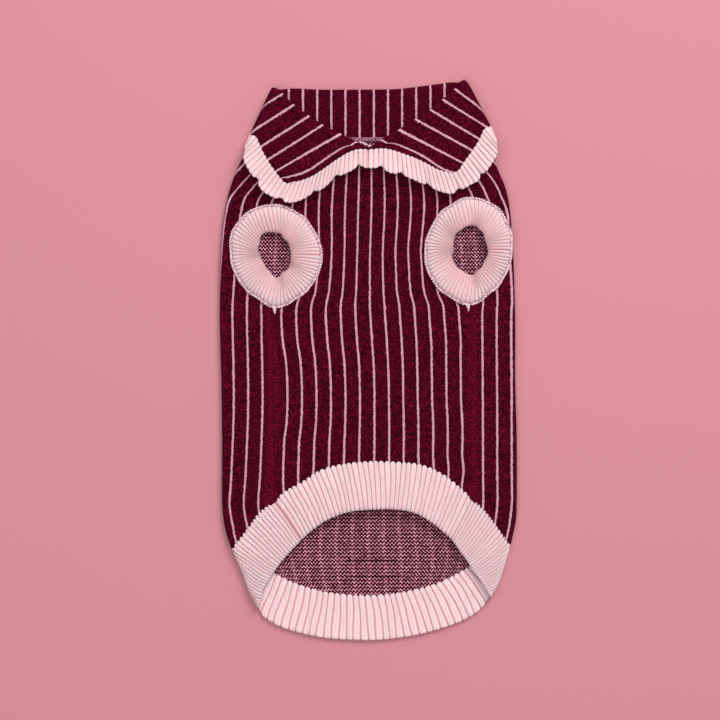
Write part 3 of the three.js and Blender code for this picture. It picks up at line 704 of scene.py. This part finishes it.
def hem_back_place(u, v, outer):
    """Places of the back's rib, from the left seam under the back to the right one."""
    ribs = u * HEM_BACK_RIBS
    shift = uneven(ribs, v) * np.clip(np.minimum(ribs, HEM_BACK_RIBS - ribs) / 8, 0, 1)
    across = through(HEM_SLANT, 1, ribs + shift) * (1 - v) + through(HEM_SLANT, 2, ribs + shift) * v
    which, t = stretches(across / sum(HEM_BACK_STRETCHES), HEM_BACK_STRETCHES)
    rise = rib_profile(ribs)
    points, out = np.zeros((len(u), 2)), np.zeros((len(u), 2))
    side_left, side_right = line(HEM_SIDE_LEFT), line(HEM_SIDE_RIGHT)
    edge = 0.02 * (rise - 0.6) * smooth(v, 0.8, 1)
    free_left = line(FREE_FRONT[:FREE_ROW_LEFT + 1][::-1])
    free_right = line(FREE_FRONT[FREE_ROW_RIGHT:][::-1])
    patches = (
        (0, patch(line(RIB_SEAM_LEFT), side_left, hem_left, free_left)),
        (2, patch(side_left, side_right, line(HEM_BACK), line(FREE_BACK))),
        (4, patch(side_right, line(RIB_SEAM_RIGHT), hem_right, free_right)),
    )
    for k, surface in patches:
        m = which == k
        points[m] = knitted_on(surface, t[m], (v + edge)[m], ribs[m])
    for k, axis, sign in ((1, side_left, -1), (3, side_right, 1)):
        m = which == k
        points[m] = axis(v[m])
        points[m, 1] += JOIN * (np.abs(np.sin(ribs * math.pi)) * (1 - v) ** 3)[m]
        out[m] = outward(axis, v[m], sign) * (1 - 0.55 * smooth(v[m], 0.6, 1))[:, None]
    turn = turns(which, t)
    seam = 0.6 * np.exp(-(np.minimum(u, 1 - u) * 60) ** 2)
    height = rib_faces(ribs, turn, outer, v) - np.where(outer, seam, 0)
    return stand(points, turn, out, height), np.stack([ribs, v * HEM_COURSES], axis=-1)


hem_back = rib_band("hem_back_rib", HEM_BACK_RIBS * COLUMNS_PER_RIB, HEM_BACK_ROWS, hem_back_place)
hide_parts("hem_back")
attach(hem_back, "root")

# The leg cuffs.
# Short tubes of the same rib, linked to the armholes' edges. Laid flat, each spreads into a low ribbed dome
# round its hole, with a few dents where the rib folds in on itself.
CUFF_RIBS = 68
CUFF_COLUMNS = 8
CUFF_ROWS = 26
CUFF_RISE = 2.8
CUFF_WALL = 1.3
DENT_DEPTH = 1.3  # of a dent at the hole, for each unit of depth in the table
RIDGE_WIDTH = 1.8
RIDGE_LAP = 0.45  # how far the ridge of stitches covers the cuff's edge
RIDGE_LIFT = 0.75
RIDGE_STITCHES = 220
RIDGE_LEAN = 26  # degrees, of each leg of a stitch
KNOT_STITCHES = 3
# Share of the way from the outer edge to the hole, and of the dome's rise.
CUFF_DOME = [(0, 0), (0.05, 0.42), (0.16, 0.8), (0.4, 1), (0.7, 0.88), (0.9, 0.66), (1, 0.3)]
# The holes' radii every 30 degrees, and the dents: angle, half width in degrees, depth.
CUFF_HOLES = [
    {
        "name": "left", "inner": (10, 10.5, 12, 15, 16, 13, 10, 9.5, 11, 14.5, 12, 10.5),
        "dents": [
            (112, 13, 1.5), (170, 10, 0.9), (192, 14, 1.1), (262, 8, 0.8), (322, 16, 1.3), (40, 10, 0.7),
        ],
    },
    {
        "name": "right", "inner": (12, 12, 15, 16.5, 14, 11.5, 10.5, 12, 14, 16, 14, 12),
        "dents": [
            (78, 12, 1.2), (144, 14, 1.4), (215, 15, 1.3), (272, 8, 0.8), (350, 12, 0.8), (118, 9, 0.7),
        ],
    },
]


def cuff_place(hole, cuff_row, u, v, outer):
    """Places of a cuff, from its linked edge in to its hole."""
    degrees = 360 * u
    ribs = u * CUFF_RIBS
    dome = line(CUFF_DOME)(v)
    share, up = dome[:, 0], dome[:, 1]
    dent = 0
    for at, half, depth in cuff_row["dents"]:
        away = np.abs(np.mod(degrees - at + 540, 360) - 180) / half
        dent = dent + depth * np.exp(-away ** 2)
    wave = np.sin(np.radians(degrees * 3 + 40)) + 0.6 * np.sin(np.radians(degrees * 7))
    wander = 360 / CUFF_RIBS * 0.7 * wave
    angle = np.radians(degrees + wander * smooth(share, 0, 1))
    rise = rib_profile(ribs)
    start = polar(hole["outer"], degrees) - RIDGE_WIDTH + RIDGE_LAP
    inner = polar(cuff_row["inner"], degrees) + 0.5 * dent - 0.4 * rise
    radius = start + (inner - start) * share
    x, y = hole["x"] + radius * np.cos(angle), hole["y"] + radius * np.sin(angle)
    top = middle(y) + OUT_FACE + creased(x, y) - 0.4
    ribbed = RIB_RISE * (rise - 0.1) * smooth(share, 0, 0.05) * (1 - 0.35 * share)
    z = top + CUFF_RISE * up - dent * share * DENT_DEPTH + np.where(outer, ribbed, -CUFF_WALL)
    return np.stack([x, y, z], axis=-1), np.stack([ribs, share * CUFF_COURSES + CUFF_START], axis=-1)


def sewn(name, material, places):
    """Stitches as one piece: each is x, y, z, a direction in plan in degrees, a length and a width."""
    bm = bmesh.new()
    for x, y, z, degrees, length, width in places:
        matrix = Matrix.Translation(Vector((x, y, z)) * MM) @ Matrix.Rotation(math.radians(degrees), 4, "Z")
        matrix = matrix @ Matrix.Diagonal((length, width, 0.85 * width, 1))
        bmesh.ops.create_icosphere(bm, subdivisions=2, radius=MM / 2, matrix=matrix)
    piece = finished(name, bm, [material])
    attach(piece, "root")
    return piece


def cuff_ridge(hole):
    """The two legs of each stitch that links a cuff to its armhole, and the knot at the bottom."""
    for k in range(RIDGE_STITCHES):
        degrees = 360 * k / RIDGE_STITCHES
        side = 1 if k % 2 else -1
        radius = float(polar(hole["outer"], degrees)) - RIDGE_WIDTH / 2
        radius += side * 0.3 + 0.1 * math.sin(k * 2.7)
        angle = math.radians(degrees)
        x, y = hole["x"] + radius * math.cos(angle), hole["y"] + radius * math.sin(angle)
        top = float(middle(y) + OUT_FACE + creased(np.array([x]), np.array([y]))[0])
        z = top + RIDGE_LIFT + 0.12 * math.sin(k * 1.9)
        yield x, y, z, degrees + 90 + side * RIDGE_LEAN, 1.8, 1.15
    bottom = float(polar(hole["outer"], 270))
    for k in range(KNOT_STITCHES):
        x, y = hole["x"] - 1 + 0.2 * k, hole["y"] - bottom - 0.2 - 1.2 * k
        yield x, y, OUT_FACE * 2 + 0.7, 85 - 8 * k, 2.4, 2.6 - 0.8 * k


YARN_SHEEN = "#ffe0ea"
LINKING_LILAC = ("#8e6478", "#ecd4dc")


def twisted_yarn(name, roughness, sheen, twist, spread, colours, depth=0.0):
    """A plied yarn's material. twist is its noise's settings, and spread is where its two colours meet."""
    material, tree, shader, _, _ = knit_fabric(name, roughness, sheen, YARN_SHEEN)
    plies = noise(tree, *twist)
    tree.links.new(blend(ramp(plies, *spread), *colours), shader.inputs["Base Color"])
    if depth:
        bump(shader, plies, depth)
    return material


# The yarn that links the cuffs: a paler, cooler twist of the burgundy and the pink, seen as single stitches.
linking_yarn = twisted_yarn(
    "lilac_pink_linking_yarn", 0.85, 0.2, (1000, 2, 0.7), (0.38, 0.6), LINKING_LILAC, depth=0.0003,
)

for hole, row in zip(ARMHOLES, CUFF_HOLES):
    def place(u, v, outer, hole=hole, row=row):
        return cuff_place(hole, row, u, v, outer)

    cuff = rib_band(f"cuff_{row['name']}_rib", CUFF_RIBS * CUFF_COLUMNS, CUFF_ROWS, place)
    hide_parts(f"cuff_{row['name']}")
    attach(cuff, "root")
    ridge = sewn(f"cuff_{row['name']}_linking", linking_yarn, cuff_ridge(hole))

# The collar.
# A strip of the jacquard whose stripes run from the neck seam to the edge. It stands up, rolls over and falls
# outside; its two short ends meet at the centre front and open into a V.
FALL_IN = OUT_FACE + LAY_GAP
FALL_OUT = FALL_IN + WALL
FALL_MID = (FALL_IN + FALL_OUT) / 2
ROLL_HEIGHT = (MID_FACE + FALL_MID) / 2
ROLL_RADIUS = FALL_MID - ROLL_HEIGHT
ROLL_LEFT = [
    (-0.6, 138.7), (-9, 142), (-18.5, 145.5), (-29.5, 151), (-39, 157), (-48.5, 164), (-55, 170),
    (-58.8, 174.3),
]
ROLL_RIGHT = [
    (1, 138.7), (10, 143.5), (20, 148), (31, 155), (40.5, 161), (48.5, 167.5), (56, 173.8), (60, 179.2),
]
EDGE_LEFT = [
    (-0.6, 136.2), (-6.5, 136.5), (-13, 134.3), (-20, 130.2), (-26, 126), (-32, 121.9), (-37, 119),
    (-43.5, 116.5), (-48.5, 115.6), (-54.5, 115.2), (-61.5, 123.5), (-66.3, 130.8), (-69.8, 137.4),
    (-72.6, 144.4),
]
EDGE_RIGHT = [
    (0.8, 136.2), (9, 137), (15.5, 136), (23, 133.5), (30, 131), (37.5, 127.5), (44, 124), (50, 122),
    (57, 121.5), (63, 129.3), (67.5, 135.5), (72.2, 143), (75.2, 149.8),
]
TRIM_LEFT = [
    (0, 125), (-6.5, 125), (-14.5, 121.5), (-22, 118), (-29, 112), (-37.5, 107.5), (-46, 103.5), (-54, 103),
    (-61, 106), (-68.5, 110.5), (-73.5, 118), (-78, 125), (-80.5, 131), (-79.5, 136.5),
]
TRIM_RIGHT = [
    (0, 125), (8, 124.5), (14, 122), (20.5, 120.5), (28, 118), (38, 113.5), (46.5, 110), (53, 108.5),
    (59, 110), (65.5, 114), (72, 117.5), (77.5, 124.5), (81.3, 130.5), (83.3, 135), (83, 140),
]
ROLL_BACK = [
    (-58.8, 174.3), (-50, 175.5), (-31.5, 174.8), (0, 174.8), (20.5, 175.3), (46.5, 178.5), (54, 179.5),
    (60, 179.2),
]
EDGE_BACK = [(-72.6, 144.4), (-40, 140), (0, 138), (40, 141), (75.2, 149.8)]
TRIM_BACK = [(-79.5, 136.5), (-40, 130.5), (0, 128.5), (40, 130.5), (83, 140)]
COLLAR_OUT = 0.43
ROLL_DROP = 2.2  # the roll bulges towards the neck, so that its line stands back at the centre front
FRONT_RIBS = 31
SIDE_RIBS = 4
BACK_RIBS = 45
TRIM_RIBS = 2 * (FRONT_RIBS + SIDE_RIBS) + BACK_RIBS
# Stripes 6 to -1 of each wing, counted from its corner: x, y on the roll and x, y on the edge.
WING_STRIPES_LEFT = [
    (-1, 139.7, -54.2, 117.5), (-17.4, 147.3, -58.5, 123.5), (-29.6, 152.7, -65.6, 129.9),
    (-38, 158.6, -70.1, 138.3), (-48, 165.9, -76.5, 147.7), (-56.6, 172.3, -69.2, 164.4),
    (-62, 178.5, -68, 174.5), (-66, 184, -72, 180),
]
WING_STRIPES_RIGHT = [
    (1.5, 140, 56.5, 124), (19.2, 150.1, 61.6, 127.6), (30.7, 156.3, 67.3, 136.4), (39.7, 162.9, 73.1, 142.8),
    (48.1, 169.1, 78.3, 150.5), (56.4, 175.8, 77, 160.1), (63, 182.5, 80, 170), (70, 190, 88, 177),
]
# Distances of the first stripe from each wing's front edge, at even steps from the centre to the tip.
EDGE_GAPS_LEFT = (5.2, 5, 4.9, 4.7, 4.4)
EDGE_GAPS_RIGHT = (6.2, 5.3, 4, 2.6, 0.6)
STAND_STRIPE_X = -42.5  # a stripe of the stand at the back of the neck
STAND_NUMBER = 2
STAND_PITCH = 9.22
WING_TIP_LEFT = 9  # the row of the edge's table at the wing's tip
WING_TIP_RIGHT = 8
HALF_COLUMNS = 110
HALF_ROWS = 70
STAND_COURSES = 32
FALL_COURSES = 40
FRONT_GAP = 0.0015  # of the neck's width, between the middle and the end of each half
# Shares of each half of the collar: across, the front, side fold and back, and up, the stand and the roll.
FRONT_SHARE = 0.5
SIDE_SHARE = 0.1
BACK_SHARE = 0.4
STAND_SHARE = 0.36
ROLL_SHARE = 0.12
FIRST_STRIPE = 6  # the number of the stripe that follows the front edge
OTHER_WING = 13  # the right wing's stripes are counted back from this number

halves = {
    "left": {
        "sign": -1, "roll": ROLL_LEFT, "edge": EDGE_LEFT, "tip": WING_TIP_LEFT,
        "stripes": WING_STRIPES_LEFT, "gaps": EDGE_GAPS_LEFT,
    },
    "right": {
        "sign": 1, "roll": ROLL_RIGHT, "edge": EDGE_RIGHT, "tip": WING_TIP_RIGHT,
        "stripes": WING_STRIPES_RIGHT, "gaps": EDGE_GAPS_RIGHT,
    },
}


def collar_lean(sign):
    """The direction in plan in which the collar's side fold stands out."""
    return np.array([sign * math.sqrt(1 - COLLAR_OUT ** 2), COLLAR_OUT])


def collar_lines(across, side):
    """Neck, roll and edge of the collar in plan, at a share across its half from the front end."""
    half = halves[side]
    front = across < FRONT_SHARE
    back = across > FRONT_SHARE + SIDE_SHARE
    t = np.clip(across / FRONT_SHARE, 0, 1)
    b = np.clip((across - FRONT_SHARE - SIDE_SHARE) / BACK_SHARE, 0, 1) / 2
    b = b if side == "left" else 1 - b
    neck = part(front_neck, 0.5 - FRONT_GAP, 0) if side == "left" else part(front_neck, 0.5 + FRONT_GAP, 1)
    picks = {}
    for name, near, far in (
        ("neck", neck, back_neck),
        ("roll", line(half["roll"]), line(ROLL_BACK)),
        ("edge", line(half["edge"], half["tip"]), line(EDGE_BACK)),
    ):
        picks[name] = np.where(back[:, None], far(b), near(t))
    picks["roll"] = picks["roll"] - np.stack([0 * t, ROLL_DROP * (1 - smooth(t, 0, 0.3))], axis=-1)
    turn = np.clip((across - FRONT_SHARE) / SIDE_SHARE, 0, 1) * math.pi
    out = np.where((front | back)[:, None], 0.0, collar_lean(half["sign"]))
    return picks, turn, out, t


def wing_stripe(stripes, sign, x, y):
    """A wing's stripe number at a place, from the straight lines that its stripes lie on."""
    past = []
    for x0, y0, x1, y1 in stripes:
        past.append(sign * ((x1 - x0) * (y - y0) - (y1 - y0) * (x - x0)) / math.hypot(x1 - x0, y1 - y0))
    steps = sum(np.clip(d / np.maximum(d - e, 1e-3), 0, 1) for d, e in zip(past, past[1:]))
    return FIRST_STRIPE - steps


def collar_stripe(side, points, base, turn, t):
    """Stripe numbers of a half of the collar."""
    half = halves[side]
    # In front the first stripe follows the wing's own edge.
    edge_points = line(half["edge"], 0, half["tip"])(np.linspace(0, 1, 160))
    away = np.linalg.norm(points[:, None, :2] - edge_points[None], axis=2)
    share = np.argmin(away, axis=1) / (len(edge_points) - 1)
    gap = np.interp(share, np.linspace(0, 1, len(half["gaps"])), half["gaps"])
    near_front = FIRST_STRIPE - (np.min(away, axis=1) - gap) / STRIPE_PITCH
    # The stripes run on round the side fold: its cloth is laid out flat there, and the underside's is
    # turned over.
    corner, tip = np.array(half["roll"][-1], float), np.array(half["edge"][-1], float)
    along = (tip - corner) / np.linalg.norm(tip - corner)
    turned = 2 * (corner + ((base - corner) @ along)[:, None] * along) - base
    under = turn >= math.pi - 1e-6
    laid = np.where(under[:, None], turned, np.where((turn == 0)[:, None], points[:, :2], base))
    laid = laid + collar_lean(half["sign"]) * (turn * FALL_MID)[:, None]
    beyond = np.abs(wing_stripe(half["stripes"], half["sign"], laid[:, 0], laid[:, 1]))
    wing = near_front + (beyond - near_front) * smooth(t, 0.12, 0.22)
    if side == "right":
        wing = OTHER_WING - wing
    inward = half["sign"] * (corner[0] - base[:, 0])
    at_back = (base[:, 0] - STAND_STRIPE_X) / STAND_PITCH + STAND_NUMBER
    return np.where(under, wing + (at_back - wing) * smooth(inward, -4, 1), wing)


def collar_place(side, u, v):
    """Places of a half of the collar, from the neck up its stand, over the roll and down to its edge."""
    half = halves[side]
    picks, turn, out, t = collar_lines(u, side)
    step = 0.004
    ahead = collar_lines(np.minimum(u + step, 1), side)
    before = collar_lines(np.maximum(u - step, 0), side)
    points_ahead = stand(ahead[0]["roll"], ahead[1], ahead[2], ROLL_HEIGHT)
    points_before = stand(before[0]["roll"], before[1], before[2], ROLL_HEIGHT)
    up = np.stack([out[:, 0] * np.sin(turn), out[:, 1] * np.sin(turn), np.cos(turn)], axis=-1)
    bulge = np.cross(points_ahead - points_before, up)
    bulge *= np.sign(bulge[:, 1:2]) / np.linalg.norm(bulge, axis=1)[:, None]
    standing = np.clip(v / STAND_SHARE, 0, 1)
    angle = np.clip((v - STAND_SHARE) / ROLL_SHARE, 0, 1) * math.pi
    falling = np.clip((v - STAND_SHARE - ROLL_SHARE) / (1 - STAND_SHARE - ROLL_SHARE), 0, 1)
    # In front the fall is a patch whose first side is the wing's front edge.
    front_edge = line(half["edge"], 0, half["tip"])
    lean_in = mix(picks["roll"], picks["edge"], falling)
    first = front_edge(falling) - mix(line(half["roll"])(0), line(half["edge"], half["tip"])(0), falling)
    fall = lean_in + first * (1 - t[:, None]) * (turn == 0)[:, None]
    base = np.where((v <= STAND_SHARE)[:, None], mix(picks["neck"], picks["roll"], standing), fall)
    height = np.where(v <= STAND_SHARE, MID_FACE, FALL_MID)
    rolling = (v > STAND_SHARE) & (falling <= 0)
    base = np.where(rolling[:, None], picks["roll"], base)
    height = np.where(rolling, ROLL_HEIGHT - ROLL_RADIUS * np.cos(angle), height)
    soft = np.where(turn == 0, 0.5 * np.sin(falling * math.pi) * np.sin(t * 9) * (1 - t), 0)
    points = stand(base, turn, out, height + soft)
    points += np.where(rolling, ROLL_RADIUS * np.sin(angle), 0)[:, None] * bulge
    stripe = collar_stripe(side, points, base, turn, t)
    course = np.where(v <= STAND_SHARE, standing * STAND_COURSES, STAND_COURSES + falling * FALL_COURSES)
    return points, np.stack([stripe, course], axis=-1)


for side in ("left", "right"):
    def place(u, v, side=side):
        return collar_place(side, u, v)

    def face_out(bm, side=side):
        if side == "left":
            bmesh.ops.reverse_faces(bm, faces=bm.faces)

    half_collar = cloth(f"collar_{side}_half", HALF_COLUMNS, HALF_ROWS, place, face_out)
    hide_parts("collar")
    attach(half_collar, "root")

# The collar's trim.
# A band of the pale pink rib linked on all round the collar's edge. It has more ribs than the edge has room
# for, so it lies in shallow scallops and lifts a little between them.
NOTCHES = [1.8, 6.6, 11.7, 18.5, 24.5, 37, 43, 49, 55, 61, 67, 73, 79, 91, 96.4, 102.7, 108.4, 112.5]
NOTCH_DEPTH = 2.6
NOTCH_HALF_WIDTH = 1.5
WAVE_RISE = 2.4
TRIM_ROWS = 14
TRIM_COURSES = 11


def trim_place(u, v, outer):
    """Places of the trim, from the left front end round the back to the right one."""
    ribs = u * TRIM_RIBS
    left = ribs < TRIM_RIBS / 2
    along = np.where(left, ribs, TRIM_RIBS - ribs)
    t = np.clip(along / FRONT_RIBS, 0, 1)
    across = np.clip((along - FRONT_RIBS - SIDE_RIBS) / BACK_RIBS, 0, 1)
    across = np.where(left, across, 1 - across)
    back = (along > FRONT_RIBS + SIDE_RIBS)[:, None]
    turn = np.clip((along - FRONT_RIBS) / SIDE_RIBS, 0, 1) * math.pi
    turn = np.where(turn > math.pi - 1e-6, math.pi, turn)
    lines = []
    tables = ((EDGE_LEFT, EDGE_RIGHT, EDGE_BACK), (TRIM_LEFT, TRIM_RIGHT, TRIM_BACK))
    for near_left, near_right, far in tables:
        front = np.where(left[:, None], line(near_left)(t), line(near_right)(t))
        lines.append(np.where(back, line(far)(across), front))
    edge, free = lines
    edge[:, 0] += np.where(left, 0.55, -0.7) * np.exp(-along)  # the band's two ends are stitched together
    free = edge + (free - edge) * (1 - 0.3 * np.sin(turn))[:, None]
    pinch = (1 - 0.5 * v)[:, None]  # the soft rib closes up at the folds
    out = np.where(left[:, None], collar_lean(-1), collar_lean(1)) * pinch
    near = np.min(np.abs(ribs[:, None] - np.array(NOTCHES)[None, :]), axis=1)
    notch = np.maximum(0, 1 - near / NOTCH_HALF_WIDTH) ** 2
    rise = rib_profile(ribs)
    length = np.linalg.norm(free - edge, axis=1)
    teeth = 0.1 + 0.6 * np.abs(np.sin(ribs * math.pi))
    share = v * (1 - notch * NOTCH_DEPTH / length)
    share = share + (0.5 * rise * smooth(v, 0.8, 1) - teeth * (1 - v)) / length
    front = turn == 0
    wave = np.where(front, WAVE_RISE * (1 - notch), 0) * v * v
    under = turn / math.pi
    rise = 0.6 + (rise - 0.6) * smooth(v, 0, 0.2)
    ribbed = (FALL_OUT - 0.5 + RIB_RISE * rise) * (1 - under) + (FALL_OUT - 0.4 * (1 - rise)) * under
    height = wave - 0.4 * notch * v * front + np.where(outer, ribbed, FALL_IN + 0.25 - 0.2 * rise)
    return stand(mix(edge, free, share), turn, out, height), np.stack([ribs, v * TRIM_COURSES], axis=-1)


trim = rib_band("collar_trim_rib", TRIM_RIBS * COLUMNS_PER_RIB, TRIM_ROWS, trim_place)
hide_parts("collar_trim")
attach(trim, "root")

# The linking of the neck, and the two rows of stitches inside the back.
# The collar is linked to the back of the neck in a darker, mauve yarn, and its two ends are caught down at
# the centre front. Two short rows of dark stitches stand on the inside of the back, a little above the hem.
LINKING_MAUVE = ("#6a3450", "#b58499")
THREAD_DARK = ("#0d0004", "#2c0410")
NECK_STITCHES = 64
NECK_HALF = 29  # half the width of the linking that shows
NECK_LEGS = ((0.55, 58), (-0.55, -58))  # how far each leg of a stitch stands up the knit, and its lean
LOOPS = 26
INSIDE_STITCHES = 25
INSIDE_PITCH = 1.28
INSIDE_ROWS = ((-130, -13), (-140.5, -11.5))  # y of each row and x of its first stitch

neck_rows = []
for k in range(NECK_STITCHES):
    x = -NECK_HALF + 2 * NECK_HALF * k / (NECK_STITCHES - 1)
    y = float(back_neck((x - FOLD_LEFT[0][0]) / neck_width)[1])
    z = float(middle(y)) - HOLLOW / 2 + 0.6 + 0.15 * math.sin(k * 1.7)
    for rise, lean in NECK_LEGS:
        neck_rows.append((x, y - 0.4 + rise, z, lean, 1.6, 0.75))
mauve_yarn = twisted_yarn("mauve_linking_yarn", 0.85, 0.2, (1000, 2, 0.7), (0.38, 0.6), LINKING_MAUVE)
sewn("neck_linking", mauve_yarn, neck_rows)

# Loose loops where the collar's two ends are caught down, scattered in a small V.
loose = []
for k in range(LOOPS):
    rise = 0.382 * k % 1
    x, y = (0.618 * k % 1 - 0.5) * (2 + 11 * rise), 137.6 + 4.6 * rise
    loose.append((x, y, float(middle(y)) + MID_FACE + 0.9, 70 * math.sin(2.4 * k), 1.9, 0.6))
sewn("centre_front_loops", linking_yarn, loose)

dark_thread = twisted_yarn(
    "dark_sewing_thread", 0.7, 0, (2500, 2, 0.6), (0.35, 0.65), THREAD_DARK, depth=0.0002,
)
inside = []
for y, first in INSIDE_ROWS:
    for k in range(INSIDE_STITCHES):
        x = first + INSIDE_PITCH * k
        inside.append((x, y + 0.15 * math.sin(k), OUT_FACE - HOLLOW / 2 + 0.3, 4 * math.cos(k), 1.5, 0.7))
sewn("inside_stitch_rows", dark_thread, inside)

# Floor, light and camera.
# A plain pale rose floor under soft daylight from the upper right, and the camera straight above.
FLOOR_ROSE = "#b27781"
ROOM_WHITE = "#fff4f4"
ROOM_STRENGTH = 0.42
bpy.ops.mesh.primitive_plane_add(size=6, location=(0, 0, 0))
floor = bpy.context.object
floor.name = "floor"
paint = bpy.data.materials.new("matt_rose_paper")
paint.use_nodes = True
paint.node_tree.nodes["Principled BSDF"].inputs["Base Color"].default_value = linear(FLOOR_ROSE)
paint.node_tree.nodes["Principled BSDF"].inputs["Roughness"].default_value = 0.9
floor.data.materials.append(paint)


def area_light(name, place, size, power, colour):
    """A square soft light that points at the garment."""
    data = bpy.data.lights.new(name, "AREA")
    data.size = size
    data.energy = power
    data.color = linear(colour)[:3]
    lamp = bpy.data.objects.new(name, data)
    lamp.location = place
    lamp.rotation_euler = (-Vector(place)).to_track_quat("-Z", "Y").to_euler()
    bpy.context.collection.objects.link(lamp)


area_light("key", place=(0.75, 1.5, 1.5), size=1.1, power=55, colour="#fff7f5")
area_light("fill", place=(-0.5, -0.3, 2.2), size=2, power=32, colour="#fff4f6")
world = bpy.data.worlds.new("soft_room")
world.use_nodes = True
world.node_tree.nodes["Background"].inputs["Color"].default_value = linear(ROOM_WHITE)
world.node_tree.nodes["Background"].inputs["Strength"].default_value = ROOM_STRENGTH
bpy.context.scene.world = world

bpy.context.scene.view_settings.view_transform = "Standard"
PIXEL = 0.65 * MM  # of the photo
PHOTO_CENTRE = (-8.3 * PIXEL, 0.8 * PIXEL)
PHOTO_WIDTH = 720
VIEW_WIDTH = PHOTO_WIDTH * PIXEL
MIDDLE_HEIGHT = 6 * MM  # the level at which the scale holds
camera = bpy.data.cameras.new("camera")
camera.lens = 100
camera.sensor_width = 36
camera_object = bpy.data.objects.new("camera", camera)
above = VIEW_WIDTH * camera.lens / camera.sensor_width
camera_object.location = (PHOTO_CENTRE[0], PHOTO_CENTRE[1], above + MIDDLE_HEIGHT)
bpy.context.collection.objects.link(camera_object)
bpy.context.scene.camera = camera_object
